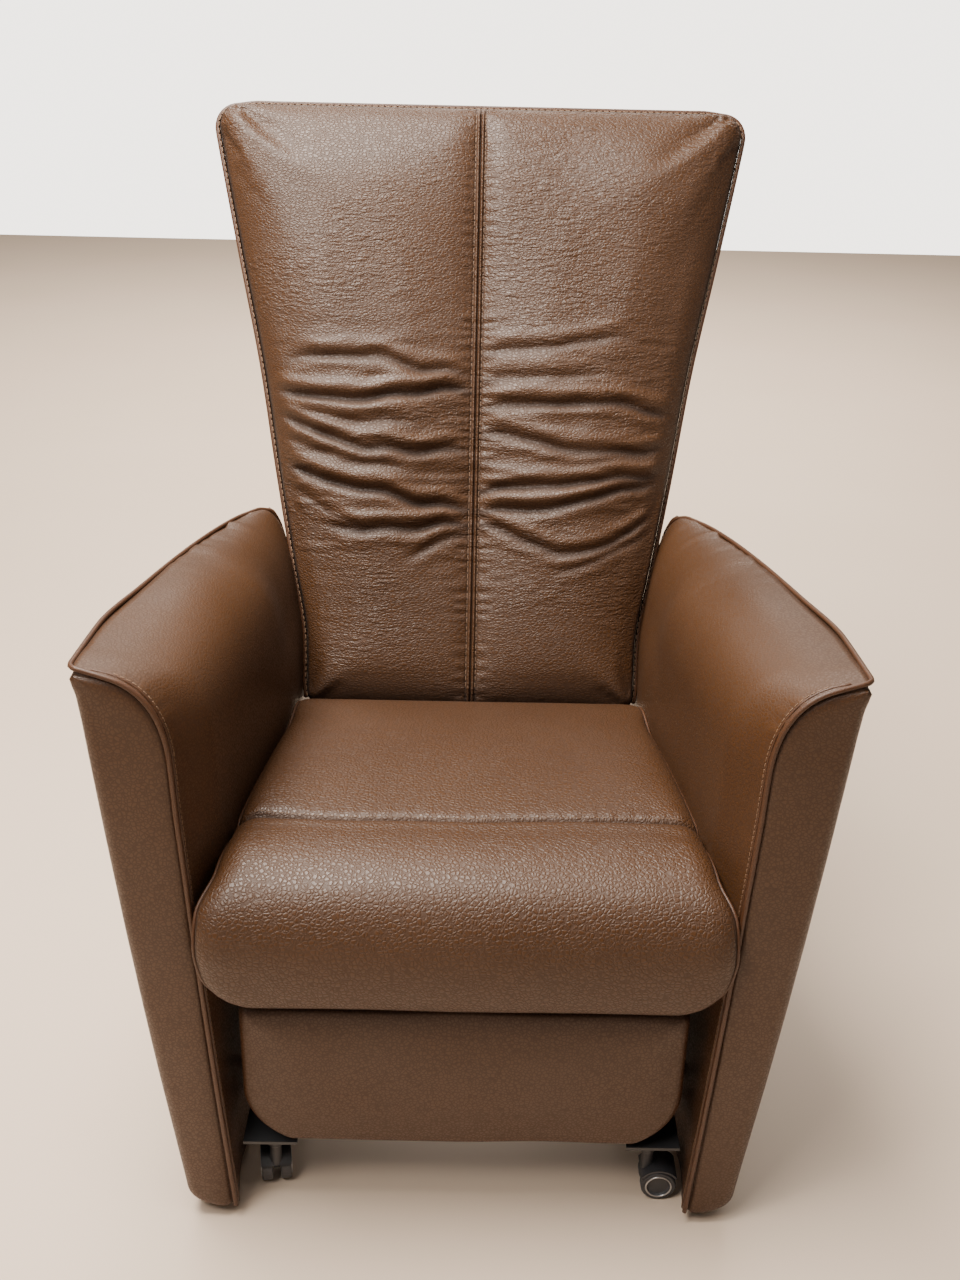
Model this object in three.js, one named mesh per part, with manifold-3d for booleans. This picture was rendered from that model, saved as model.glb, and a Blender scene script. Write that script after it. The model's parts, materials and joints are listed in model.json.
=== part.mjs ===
// Recliner armchair: tapered arms that reach almost to the floor, a tall flared backrest, a waterfall
// seat and a footrest that is stowed under the seat front. Millimetres, +Z up, the sitter faces -Y and
// the left and right sides are the viewer's, looking along +Y at the front of the chair.
//
// How it works. Two steel side plates stand on a tubular base on four swivel castors. The backrest turns
// on a tube between the side plates, held by a locking gas spring that pushes a slotted lever. The seat
// frame hangs on four shouldered pins that run forward and up in slots of the side plates. The footrest
// rides on two square runners inside channels under the seat rails and swings up on a hinge rod.
import * as THREE from "three";
import { mergeVertices } from "three/addons/utils/BufferGeometryUtils.js";
import Module from "manifold-3d";

const wasm = await Module();
wasm.setup();

// ---- driving dimensions ----
const MID_DEPTH = 41.7; // the drawing's Y at half of the chair's depth, moved to the origin at the end
const GAP = 0.4; // between pieces that touch
const RECLINE = THREE.MathUtils.degToRad(23.7); // the backrest's lean from vertical at rest
const RUN_ANGLE = THREE.MathUtils.degToRad(8); // rise of the seat slots and the footrest runners

const ARM = { front: -380, rear: 240, bottom: 18, frontTop: 711, topFall: 0.098, halfWidth: 386 };
const SEAT = { rear: 93, halfFront: 255, frontAt: -260, narrowing: 0.0943, bottom: 342, armGap: 4.5 };
const JUNCTION = { y: 99, z: 442 }; // where the backrest's front face meets the seat
const BACK = { height: 783, below: 22, cushion: 48, shellFront: 48.5, hollowRear: 80, rear: 88 };
const BACK_OUTLINE = [ // height up the backrest from the junction, half-width there
  [-22, 222], [60, 223], [180, 243], [300, 264], [435, 286.5], [577, 316], [735, 348], [805, 361],
];
const PIVOT = { y: 130, z: 360 }; // the recline axis
const PLATE = { x: 179, thick: 6 }; // the mechanism's side plates
const RAIL = { x: 189, width: 25, bottom: 294, top: 338, wall: 2.5 }; // the seat frame's side rails
const BASE = { x: 192.5, width: 25, bottom: 95.3, top: 125.3, wall: 2, front: -300, rear: 215 };
const GLIDE = 50; // the seat's travel
const HINGE = { y: -290, z: 275 }; // the footrest's hinge rod, stowed
const FOOTREST = { front: -364, half: 249, bottom: 98, top: 291, pad: 42, board: 12 };
const LEVER = { drop: 94, swing: THREE.MathUtils.degToRad(20), pin: 5, slot: 6.2 };
const CASTOR = { wheel: 21, width: 13, web: 9, trail: 14, sides: 24, plateTop: 94.9, plateThick: 4 };
const CASTORS = [ // name, swivel axis, and the heading in which the wheels trail
  { name: "front_left", x: -220, y: -330, heading: 100 },
  { name: "front_right", x: 220, y: -330, heading: 0 },
  { name: "rear_left", x: -185, y: 175, heading: 100 },
  { name: "rear_right", x: 185, y: 175, heading: 80 },
];
const BOLT_HOLES = [{ end: "front", y: -250 }, { end: "rear", y: 150 }]; // arm bolts, at BOLT_Z
const BOLT_Z = 110;
const RELEASE = { y: -150, z: 420, inner: 366, outer: 376 }; // the release lever's pivot

const MATERIALS = {
  leather: new THREE.MeshStandardMaterial({ color: 0x6b4a33, roughness: 0.5, metalness: 0 }),
  steel: new THREE.MeshStandardMaterial({ color: 0x1c1c1e, roughness: 0.45, metalness: 0.6 }),
  zinc: new THREE.MeshStandardMaterial({ color: 0xb9bcc0, roughness: 0.35, metalness: 0.9 }),
  plywood: new THREE.MeshStandardMaterial({ color: 0xc59a6a, roughness: 0.7, metalness: 0 }),
  webbing: new THREE.MeshStandardMaterial({ color: 0x2a2724, roughness: 0.9, metalness: 0 }),
  nylon: new THREE.MeshStandardMaterial({ color: 0x35353a, roughness: 0.5, metalness: 0 }),
};

const chair = new THREE.Group();
const backrest = new THREE.Group(); // its own +Z runs up the backrest and its front face is y = 0
backrest.position.set(0, JUNCTION.y, JUNCTION.z);
backrest.rotation.x = -RECLINE;
chair.add(backrest);

// ---- helpers ----
const SIDES = [["left", -1], ["right", 1]];
const X = new THREE.Vector3(1, 0, 0);
const Y = new THREE.Vector3(0, 1, 0);
const Z = new THREE.Vector3(0, 0, 1);
const lerp = THREE.MathUtils.lerp;

function place(name, geometry, material, group = chair) {
  const mesh = new THREE.Mesh(geometry, MATERIALS[material]);
  mesh.name = name;
  group.add(mesh);
  return mesh;
}

function solidOf(geometry) {
  const bare = new THREE.BufferGeometry();
  const flat = geometry.index ? geometry.toNonIndexed() : geometry;
  bare.setAttribute("position", flat.getAttribute("position"));
  const merged = mergeVertices(bare, 1e-3);
  return new wasm.Manifold(new wasm.Mesh({
    numProp: 3,
    vertProperties: new Float32Array(merged.attributes.position.array),
    triVerts: new Uint32Array(merged.index.array),
  }));
}

function geometryOf(solid) {
  const mesh = solid.getMesh();
  const geometry = new THREE.BufferGeometry();
  geometry.setAttribute("position", new THREE.BufferAttribute(mesh.vertProperties, 3));
  geometry.setIndex(new THREE.BufferAttribute(mesh.triVerts, 1));
  return geometry;
}

function cut(geometry, tools) {
  return geometryOf(tools.reduce((solid, tool) => solid.subtract(solidOf(tool)), solidOf(geometry)));
}

function join(first, others) {
  return geometryOf(others.reduce((solid, other) => solid.add(solidOf(other)), solidOf(first)));
}

// A block from its two limits along each axis.
function block([x0, x1], [y0, y1], [z0, z1]) {
  const geometry = new THREE.BoxGeometry(x1 - x0, y1 - y0, z1 - z0);
  return geometry.translate((x0 + x1) / 2, (y0 + y1) / 2, (z0 + z1) / 2);
}

// A round bar from one point to another.
function bar(from, to, radius, sides = 20) {
  const along = new THREE.Vector3().subVectors(to, from);
  const geometry = new THREE.CylinderGeometry(radius, radius, along.length(), sides);
  const turn = new THREE.Quaternion().setFromUnitVectors(Y, along.clone().normalize());
  const middle = new THREE.Vector3().addVectors(from, to).multiplyScalar(0.5);
  return geometry.applyQuaternion(turn).translate(middle.x, middle.y, middle.z);
}

// A bar along X through the point (y, z).
function crossBar(x0, x1, y, z, radius, sides) {
  return bar(new THREE.Vector3(x0, y, z), new THREE.Vector3(x1, y, z), radius, sides);
}

// A shape drawn in (y, z) and made thick along +X from x.
function plateYZ(shape, x, thick, segments = 8) {
  const geometry = new THREE.ExtrudeGeometry(shape, {
    depth: thick, bevelEnabled: false, curveSegments: segments,
  });
  return geometry.applyMatrix4(new THREE.Matrix4().makeBasis(Y, Z, X)).translate(x, 0, 0);
}

// A shape drawn in (x, z) and made thick along +Y from y.
function plateXZ(shape, y, thick, bevel = 0) {
  const geometry = new THREE.ExtrudeGeometry(shape, {
    depth: thick - 2 * bevel,
    bevelEnabled: bevel > 0, bevelThickness: bevel, bevelSize: bevel, bevelOffset: -bevel,
    bevelSegments: 2, curveSegments: 8,
  });
  const turn = new THREE.Matrix4().makeBasis(X, Z, Y.clone().negate());
  return geometry.applyMatrix4(turn).translate(0, y + thick - bevel, 0);
}

function polygon(points) {
  return new THREE.Shape(points.map(([u, v]) => new THREE.Vector2(u, v)));
}

// A slot with round ends between two points: a hole to cut, or a link's outline.
function obround(path, [u0, v0], [u1, v1], radius) {
  const angle = Math.atan2(v1 - v0, u1 - u0);
  path.absarc(u1, v1, radius, angle - Math.PI / 2, angle + Math.PI / 2, false);
  path.absarc(u0, v0, radius, angle + Math.PI / 2, angle + 1.5 * Math.PI, false);
  path.closePath();
  return path;
}

function roundHole(u, v, radius) {
  return new THREE.Path().absarc(u, v, radius, 0, 2 * Math.PI, true);
}

// A hollow rectangular tube along +Y from y0 to y1, centred on (x, z).
function boxTube(x, z, width, height, wall, y0, y1) {
  const outer = block([x - width / 2, x + width / 2], [y0, y1], [z - height / 2, z + height / 2]);
  const inner = block(
    [x - width / 2 + wall, x + width / 2 - wall], [y0 - 1, y1 + 1], [z - height / 2 + wall, z + height / 2 - wall],
  );
  return cut(outer, [inner]);
}

// A closed skin over rings of equal point count, each a loop of [x, z] at its own y, from front to rear.
function loft(stations) {
  const count = stations[0].ring.length;
  const positions = stations.flatMap(({ y, ring }) => ring.flatMap(([x, z]) => [x, y, z]));
  const faces = [];
  for (let s = 0; s + 1 < stations.length; s++) {
    for (let i = 0; i < count; i++) {
      const [a, b] = [s * count + i, s * count + ((i + 1) % count)];
      faces.push(a, a + count, b, b, a + count, b + count);
    }
  }
  for (let i = 0; i + 1 < count / 2; i++) { // both ends are closed by a ladder across the ring
    const [a, b, c, d] = [i, i + 1, count - 2 - i, count - 1 - i];
    const rear = (stations.length - 1) * count;
    faces.push(a, b, d, rear + b, rear + a, rear + d);
    if (b !== c) faces.push(b, c, d, rear + c, rear + b, rear + d);
  }
  const geometry = new THREE.BufferGeometry();
  geometry.setAttribute("position", new THREE.Float32BufferAttribute(positions, 3));
  geometry.setIndex(faces);
  return geometry;
}

// A cushion's section at one y: flat below, with both upper corners rounded.
function cushionRing(y, half, bottom, top, round = 22) {
  return {
    y,
    ring: [
      [-half + 6, bottom], [half - 6, bottom], [half, bottom + 8], [half, top - round],
      [half - round * 0.3, top - round * 0.3], [half - round, top],
      [-half + round, top], [-half + round * 0.3, top - round * 0.3], [-half, top - round], [-half, bottom + 8],
    ],
  };
}

// Straight-line interpolation in a list of [at, value].
function along(table, at) {
  const next = table.findIndex(([t], i) => i > 0 && at <= t);
  const i = next < 0 ? table.length - 1 : next;
  const [[t0, v0], [t1, v1]] = [table[i - 1], table[i]];
  return lerp(v0, v1, THREE.MathUtils.clamp((at - t0) / (t1 - t0), 0, 1));
}

// ---- base and castors ----
function base() {
  for (const [side, sign] of SIDES) {
    const x = sign * (BASE.x + BASE.width / 2);
    const middle = (BASE.bottom + BASE.top) / 2;
    const rail = boxTube(x, middle, BASE.width, BASE.top - BASE.bottom, BASE.wall, BASE.front, BASE.rear);
    const holes = BOLT_HOLES.map(({ y }) => crossBar(sign * 180, sign * 230, y, BOLT_Z, 4 + GAP, 12));
    place(`base_rail_${side}`, cut(rail, holes), "steel");
  }
  const reach = BASE.x - GAP;
  const outer = { front: [-212.5, -187.5], rear: [189.5, 214.5] };
  for (const [end, [y0, y1]] of Object.entries(outer)) {
    const tube = block([-reach, reach], [y0, y1], [BASE.bottom, BASE.top]);
    const bore = block([-reach - 1, reach + 1], [y0 + 2, y1 - 2], [BASE.bottom + 2, BASE.top - 2]);
    place(`base_cross_${end}`, cut(tube, [bore]), "steel");
  }
}

function castor({ name, x, y, heading }) {
  const angle = THREE.MathUtils.degToRad(heading);
  const front = y < 0;
  const plateX = x > 0 ? [x - 30, x + 32] : [x - 32, x + 30];
  const plateY = front ? [y - 30, y + 72] : [y - 35, y + 38];
  const thickness = [CASTOR.plateTop - CASTOR.plateThick, CASTOR.plateTop];
  const swivelHole = bar(new THREE.Vector3(x, y, 80), new THREE.Vector3(x, y, 110), 5.4, 20);
  place(`castor_plate_${name}`, cut(block(plateX, plateY, thickness), [swivelHole]), "steel");

  const turning = new THREE.Group(); // its +X is the trail's direction
  turning.position.set(x, y, 0);
  turning.rotation.z = angle;
  chair.add(turning);
  const axle = CASTOR.wheel * Math.cos(Math.PI / CASTOR.sides); // a flat facet rests on the floor
  place(`castor_fork_${name}`, castorFork(axle), "nylon", turning);
  place(`castor_wheels_${name}`, castorWheels(axle), "nylon", turning);
}

// The fork: a riveted stem with its collar, the web between the wheels and the hood over them.
function castorFork(axle) {
  const stem = new THREE.LatheGeometry([
    [0, 34], [7, 34], [7, 62], [8.6, 64], [8.6, 70], [7, 72], [7, 78], [9.5, 80], [9.5, 90.5],
    [5, 90.5], [5, 95.3], [7, 95.3], [7, 97.6], [0, 97.6],
  ].map(([r, z]) => new THREE.Vector2(r, z)), 20).rotateX(Math.PI / 2);
  const hoodInner = CASTOR.wheel + 1.6;
  const hoodOuter = hoodInner + 2.4;
  const arch = new THREE.Shape();
  const [low, high] = [THREE.MathUtils.degToRad(32), THREE.MathUtils.degToRad(148)];
  arch.absarc(0, 0, hoodOuter, low, high, false);
  arch.absarc(0, 0, hoodInner, high, low, true);
  arch.closePath();
  const half = CASTOR.width + CASTOR.web / 2 + GAP;
  const hood = plateXZ(arch, -half, 2 * half).translate(CASTOR.trail, 0, axle);
  const webShape = new THREE.Shape();
  webShape.absarc(0, 0, 8, Math.PI, 1.5 * Math.PI, false);
  webShape.absarc(0, 0, 8, 1.5 * Math.PI, 2 * Math.PI, false);
  webShape.lineTo(12, hoodInner * 0.9);
  webShape.lineTo(-19, hoodInner * 0.75);
  webShape.closePath();
  webShape.holes.push(roundHole(0, 0, 4.6));
  const webHalf = CASTOR.web / 2 - 1.1;
  const web = plateXZ(webShape, -webHalf, 2 * webHalf).translate(CASTOR.trail, 0, axle);
  const wheelRoom = bar(
    new THREE.Vector3(CASTOR.trail, -half - 5, axle), new THREE.Vector3(CASTOR.trail, half + 5, axle), hoodInner, 32,
  );
  const keptStem = geometryOf(
    solidOf(stem).subtract(solidOf(wheelRoom)).add(solidOf(stem).intersect(
      solidOf(block([-12, 12], [-webHalf, webHalf], [30, 50])),
    )),
  );
  return join(web, [hood, keptStem]);
}

// Two wheels pressed on one axle.
function castorWheels(axle) {
  const [hub, tread] = [CASTOR.web / 2, CASTOR.web / 2 + CASTOR.width];
  const r = CASTOR.wheel;
  const profile = [
    [0, -tread + 2], [12, -tread + 2], [14, -tread], [r - 1.5, -tread], [r, -tread + 1.5], [r, -hub - 1.5],
    [r - 1.5, -hub], [4, -hub], [4, hub], [r - 1.5, hub], [r, hub + 1.5], [r, tread - 1.5],
    [r - 1.5, tread], [14, tread], [12, tread - 2], [0, tread - 2],
  ].map(([radius, across]) => new THREE.Vector2(radius, across));
  const turned = new THREE.LatheGeometry(profile, CASTOR.sides);
  // half a facet's turn puts a flat facet at the bottom
  return turned.rotateY(Math.PI / CASTOR.sides).translate(CASTOR.trail, 0, axle);
}

// ---- arms ----
const topEdge = new THREE.CubicInterpolant(
  [-380, -250, -120, 40, 165, 215, 240], [384, ARM.halfWidth, 370, 345, 315, 292, 276], 1,
);
const topOuter = (y) => topEdge.evaluate(y)[0]; // the arm's upper outer edge in plan
const topHeight = (y) => ARM.frontTop - ARM.topFall * (y - ARM.front);
const outerTaper = (y) => lerp(0.1, 0.05, (y - ARM.front) / (ARM.rear - ARM.front));
const armOuter = (y, z) => topOuter(y) - outerTaper(y) * (topHeight(y) - z);
const seatHalf = (y) => SEAT.halfFront - SEAT.narrowing * (y - SEAT.frontAt);
const PIVOT_BELOW = 62.6; // the recline axis, down the backrest from the junction
// the widest part of the backrest that sweeps past a point beside it
function backSweep(y, z) {
  return along(BACK_OUTLINE, Math.hypot(y - PIVOT.y, Math.max(0, z - PIVOT.z)) - PIVOT_BELOW);
}
const FRONT_EDGE = [[18, 258.5], [177, 269.5], [317, 278], [448, 285], [568, 291], [620, 292]]; // z, x

function armInner(y, z) {
  const wall = seatHalf(Math.min(y, 100)) + SEAT.armGap;
  const toFront = THREE.MathUtils.smoothstep(y, ARM.front, -300);
  const lower = lerp(along(FRONT_EDGE, z), Math.max(wall, 226.5), toFront);
  const toRear = THREE.MathUtils.smoothstep(y, -20, 90);
  return lerp(lower, Math.max(lower, backSweep(y, z) + 8), toRear);
}

// The right arm's section at y, up the outer wall, over the top and down the inner wall.
function armRing(y) {
  const top = topHeight(y);
  const shoulder = top - 111;
  const wall = [ARM.bottom, 120, 240, 345, 450, 530, shoulder].map((z) => [armInner(y, z), z]);
  const [x0] = wall.at(-1);
  const over = new THREE.QuadraticBezierCurve(
    new THREE.Vector2(x0, shoulder), new THREE.Vector2(armInner(y, top - 20), top - 5),
    new THREE.Vector2(topOuter(y), top),
  ).getPoints(7).slice(1).map((p) => [p.x, p.y]);
  const outer = [top - 12, 520, 330, 140, 60, 34].map((z) => [armOuter(y, z), z]);
  const foot = [[armOuter(y, 24) - 7, 24], [armOuter(y, ARM.bottom) - 18, ARM.bottom]];
  return [...wall, ...over, ...outer, ...foot].reverse();
}

// The arm's plywood core: a flat board, leaned and turned to run inside the padding.
function armCore(grow, bottom) {
  const outline = polygon([
    [-352 - grow, bottom], [168 + grow, bottom], [168 + grow, 545 + grow],
    [60, 572 + grow], [-330, 600 + grow], [-352 - grow, 580 + grow],
  ]);
  const lean = new THREE.Matrix4().set(1, -0.08, 0.06, 0, 0, 1, 0, 0, 0, 0, 1, 0, 0, 0, 0, 1);
  const atOrigin = 281 - 0.08 * 250 - 0.06 * 110; // the board's x at y = 0, z = 0
  return plateYZ(outline, -6 - grow, 12 + 2 * grow).applyMatrix4(lean).translate(atOrigin, 0, 0);
}
const coreMiddle = (y, z) => 281 - 0.08 * (y + 250) + 0.06 * (z - 110);

function mirrored(geometry) {
  const flipped = geometry.index ? geometry.toNonIndexed() : geometry.clone();
  flipped.scale(-1, 1, 1);
  const p = flipped.getAttribute("position");
  for (let i = 0; i < p.count; i += 3) { // a mirror turns each face round, so its corners change places
    const [bx, by, bz] = [p.getX(i + 1), p.getY(i + 1), p.getZ(i + 1)];
    p.setXYZ(i + 1, p.getX(i + 2), p.getY(i + 2), p.getZ(i + 2));
    p.setXYZ(i + 2, bx, by, bz);
  }
  flipped.deleteAttribute("normal");
  flipped.deleteAttribute("uv");
  return flipped;
}

function arms() {
  const ys = [-380, -360, -340, -320, -300, -200, -110, -20, 30, 60, 90, 140, 190, 225, 240];
  const padding = loft(ys.map((y) => ({ y, ring: armRing(y) })));
  for (const [side, sign] of SIDES) {
    const bolts = BOLT_HOLES.map(({ y }) => crossBar(200, coreMiddle(y, BOLT_Z) + 7, y, BOLT_Z, 4 + GAP, 12));
    const spindle = crossBar(RELEASE.inner + 20, coreMiddle(RELEASE.y, RELEASE.z) - 8, RELEASE.y, RELEASE.z, 6.6, 16);
    const holes = sign < 0 ? [...bolts, spindle] : bolts;
    const pad = cut(padding, [armCore(GAP, 0), ...holes]);
    const core = cut(armCore(0, 26), holes);
    place(`arm_pad_${side}`, sign > 0 ? pad : mirrored(pad), "leather");
    place(`arm_core_${side}`, sign > 0 ? core : mirrored(core), "plywood");
    for (const { end, y } of BOLT_HOLES) {
      const shoulder = armInner(y, BOLT_Z) - 1.6;
      const stud = crossBar(sign * 187, sign * (coreMiddle(y, BOLT_Z) + 5), y, BOLT_Z, 4, 12);
      const head = crossBar(sign * 186, sign * 192, y, BOLT_Z, 8, 6);
      const spacer = crossBar(sign * (BASE.x + BASE.width + GAP), sign * shoulder, y, BOLT_Z, 9, 16);
      place(`arm_bolt_${end}_${side}`, join(stud, [head, spacer]), "zinc");
    }
  }
}

function releaseLever() {
  const handle = new THREE.Shape();
  obround(handle, [RELEASE.y - 105, RELEASE.z - 4], [RELEASE.y, RELEASE.z], 15);
  const paddle = plateYZ(handle, -RELEASE.outer, RELEASE.outer - RELEASE.inner);
  const spindle = crossBar(-RELEASE.inner - 4, -coreMiddle(RELEASE.y, RELEASE.z) + 5, RELEASE.y, RELEASE.z, 6, 16);
  place("release_lever", join(paddle, [spindle]), "nylon");
}

// ---- recline mechanism ----
const runStep = (distance) => [-distance * Math.cos(RUN_ANGLE), distance * Math.sin(RUN_ANGLE)];
const GUIDE_PINS = [{ end: "front", y: -170 }, { end: "rear", y: 40 }];
const PIN_Z = 304;

function sidePlates() {
  const outline = new THREE.Shape();
  outline.moveTo(-214, BASE.top + GAP);
  outline.lineTo(194, BASE.top + GAP);
  outline.lineTo(158, PIVOT.z - 20);
  outline.absarc(PIVOT.y, PIVOT.z, 24, -0.3, Math.PI - 0.3, false);
  outline.lineTo(88, 326);
  outline.lineTo(-240, 326);
  outline.lineTo(-246, 320);
  outline.lineTo(-246, 288);
  outline.closePath();
  for (const { y } of GUIDE_PINS) {
    const [dy, dz] = runStep(GLIDE + 0.6);
    outline.holes.push(obround(new THREE.Path(), [y + 0.6, PIN_Z - 0.1], [y + dy, PIN_Z + dz], 8.5));
  }
  outline.holes.push(roundHole(PIVOT.y, PIVOT.z, 6 + GAP));
  for (const [side, sign] of SIDES) {
    const x = sign > 0 ? PLATE.x : -PLATE.x - PLATE.thick;
    place(`side_plate_${side}`, plateYZ(outline, x, PLATE.thick), "steel");
    const shank = crossBar(sign * 160, sign * 186, PIVOT.y, PIVOT.z, 6, 20);
    const head = crossBar(sign * (PLATE.x + PLATE.thick + GAP), sign * 191, PIVOT.y, PIVOT.z, 10, 6);
    place(`pivot_bolt_${side}`, join(shank, [head]), "zinc");
  }
  const reach = PLATE.x - GAP;
  const tube = crossBar(-reach, reach, -140, 200, 10, 20);
  place("mechanism_cross_tube", cut(tube, [crossBar(-reach - 1, reach + 1, -140, 200, 8, 20)]), "steel");
}

function gasSpring() {
  const level = PIVOT.z - LEVER.drop; // the rod's height
  const pinY = PIVOT.y + LEVER.drop * Math.tan(LEVER.swing);
  const point = (y) => new THREE.Vector3(0, y, level);
  place("gas_spring_anchor", block([-13, 13], [-152, -121], [210 + GAP, level + 16]), "steel");
  const body = bar(point(-120.5), point(55), 14, 24);
  place("gas_spring_cylinder", cut(body, [bar(point(-78), point(60), 5.7, 20)]), "steel");

  const cheeks = [-9, 5.2].map((x) => block([x, x + 3.8], [pinY - 37, pinY + 10], [level - 10, level + 10]));
  const bridge = block([-9, 9], [pinY - 37, pinY - 25], [level - 10, level + 10]);
  const pin = crossBar(-9, 9, pinY, level, LEVER.pin, 20);
  const rod = bar(point(0), point(pinY - 30), 5, 20);
  place("gas_spring_rod", join(rod, [bridge, ...cheeks, pin]), "zinc");

  const reach = LEVER.drop / Math.cos(LEVER.swing);
  const down = (distance) => [
    PIVOT.y + distance * Math.sin(LEVER.swing), PIVOT.z - distance * Math.cos(LEVER.swing),
  ];
  const outline = obround(new THREE.Shape(), down(reach + 1), down(0), 17);
  outline.holes.push(obround(new THREE.Path(), down(reach + 1), down(LEVER.drop - 1), LEVER.slot));
  outline.holes.push(roundHole(PIVOT.y, PIVOT.z, 12 + GAP));
  place("recline_lever", plateYZ(outline, -4, 8, 10), "steel");
}

function reclineTube() {
  const reach = 168 - GAP;
  const tube = crossBar(-reach, reach, PIVOT.y, PIVOT.z, 12, 20);
  const bores = SIDES.map(([, sign]) => crossBar(sign * 156, sign * 170, PIVOT.y, PIVOT.z, 6.8, 20));
  place("recline_tube", cut(tube, bores), "steel");
}

// ---- backrest, in its own frame ----
function backOutline(inset, bottom, top) {
  const half = (s) => along(BACK_OUTLINE, s) - inset;
  const heights = [bottom + 30, 60, 120, 180, 240, 300, 367, 435, 506, 577, 656, top - 42];
  const right = heights.map((s) => new THREE.Vector2(half(s), s));
  const corner = half(top) - 2;
  const shape = new THREE.Shape();
  shape.moveTo(0, bottom);
  shape.lineTo(half(bottom) - 30, bottom);
  shape.quadraticCurveTo(half(bottom), bottom, right[0].x, right[0].y);
  right.slice(1).forEach((p) => shape.lineTo(p.x, p.y));
  shape.bezierCurveTo(corner, top - 18, corner - 12, top, corner - 44, top);
  shape.lineTo(-corner + 44, top);
  shape.bezierCurveTo(-corner + 12, top, -corner, top - 18, -right.at(-1).x, right.at(-1).y);
  right.slice(0, -1).reverse().forEach((p) => shape.lineTo(-p.x, p.y));
  shape.quadraticCurveTo(-half(bottom), bottom, -half(bottom) + 30, bottom);
  shape.closePath();
  return shape;
}

function backParts() {
  const { height, below, cushion, shellFront, hollowRear, rear } = BACK;
  place("back_cushion", plateXZ(backOutline(0, -below, height), 0, cushion, 12), "leather", backrest);
  const shell = plateXZ(backOutline(0, -18, height), shellFront, rear - shellFront);
  const hollow = plateXZ(backOutline(14, -60, height - 14), shellFront - 5, hollowRear - shellFront + 5);
  place("back_shell", cut(shell, [hollow]), "leather", backrest);

  const dy = PIVOT.y - JUNCTION.y;
  const dz = PIVOT.z - JUNCTION.z;
  const pivot = [
    dy * Math.cos(RECLINE) - dz * Math.sin(RECLINE), dy * Math.sin(RECLINE) + dz * Math.cos(RECLINE),
  ];
  const arm = obround(new THREE.Shape(), pivot, [65.5, 150], 11.5);
  arm.holes.push(roundHole(...pivot, 6.6));
  for (const [side, sign] of SIDES) {
    place(`back_hinge_arm_${side}`, plateYZ(arm, sign > 0 ? 168 : -174, 6), "steel", backrest);
  }

  const leg = [[158, -6], [158, 80], [158, 165], [174, 260], [207, 400], [248, 570], [276, 680], [262, 722]];
  const points = [
    ...leg.map(([x, s]) => new THREE.Vector3(-x, 66, s)),
    new THREE.Vector3(-140, 66, 737),
    new THREE.Vector3(140, 66, 737),
    ...leg.reverse().map(([x, s]) => new THREE.Vector3(x, 66, s)),
  ];
  const ring = new THREE.Shape().absarc(0, 0, 9, 0, 2 * Math.PI, false);
  const hoop = new THREE.ExtrudeGeometry(ring, {
    steps: 64, curveSegments: 5, extrudePath: new THREE.CatmullRomCurve3(points, false, "centripetal"),
  });
  place("back_frame_hoop", hoop, "steel", backrest);
}

// ---- seat ----
function seatFrame() {
  const middle = (RAIL.bottom + RAIL.top) / 2;
  const height = RAIL.top - RAIL.bottom;
  for (const [side, sign] of SIDES) {
    const x = sign * (RAIL.x + RAIL.width / 2);
    const rail = boxTube(x, middle, RAIL.width, height, RAIL.wall, -289.6, 85);
    const holes = GUIDE_PINS.map(({ y }) => crossBar(sign * 180, sign * 203, y, PIN_Z, 5 + GAP, 12));
    place(`seat_rail_${side}`, cut(rail, holes), "steel");
    for (const { end, y } of GUIDE_PINS) {
      const shank = crossBar(sign * 187, sign * 199, y, PIN_Z, 5, 12);
      const roller = crossBar(sign * 178, sign * (RAIL.x - GAP), y, PIN_Z, 8, 20);
      const flange = crossBar(sign * 171.5, sign * 178.5, y, PIN_Z, 11.5, 20);
      place(`seat_guide_${end}_${side}`, join(shank, [roller, flange]), "nylon");
    }
  }
  const wide = RAIL.x + RAIL.width;
  const inner = RAIL.x - GAP;
  const front = block([-wide, wide], [-330, -290], [312, RAIL.top]);
  const frontBore = block([-wide - 1, wide + 1], [-327.5, -292.5], [314.5, RAIL.top - 2.5]);
  place("seat_front_rail", cut(front, [frontBore]), "steel");
  const rear = block([-inner, inner], [55, 85], [RAIL.top - 11, RAIL.top]); // passes over the side plates
  const rearBore = block([-inner - 1, inner + 1], [57, 83], [RAIL.top - 9, RAIL.top - 2]);
  place("seat_rear_rail", cut(rear, [rearBore]), "steel");
  place("seat_spring_mat", block([-213, 213], [-326, 83], [RAIL.top + GAP, RAIL.top + 3.4]), "webbing");
}

function seatCushions() {
  const top = [[-268, 466], [-235, 473], [-100, 463], [40, 449], [80, 441], [SEAT.rear, 424]]; // y, height
  const main = top.map(([y, z]) => cushionRing(y, seatHalf(y), SEAT.bottom, z));
  place("seat_cushion", loft(main), "leather");
  const roll = [ // y, half-width, bottom, top
    [-411, 276, 340, 402], [-407, 279, 326, 418], [-396, 278.5, 319, 440], [-368, 271, 318, 463],
    [-337, 263, 318, 473], [-335.5, 263, 342, 473.5], [-300, 258.5, 342, 475], [-268.5, 255.5, 342, 466],
  ];
  place("seat_front_roll", loft(roll.map(([y, half, low, high]) => cushionRing(y, half, low, high, 14))), "leather");
}

// ---- footrest ----
// Turns a piece drawn level, with the hinge rod at the origin, into the runners' slope and place.
function onRunners(geometry, x) {
  return geometry.rotateX(-RUN_ANGLE).translate(x, HINGE.y, HINGE.z);
}

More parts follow.
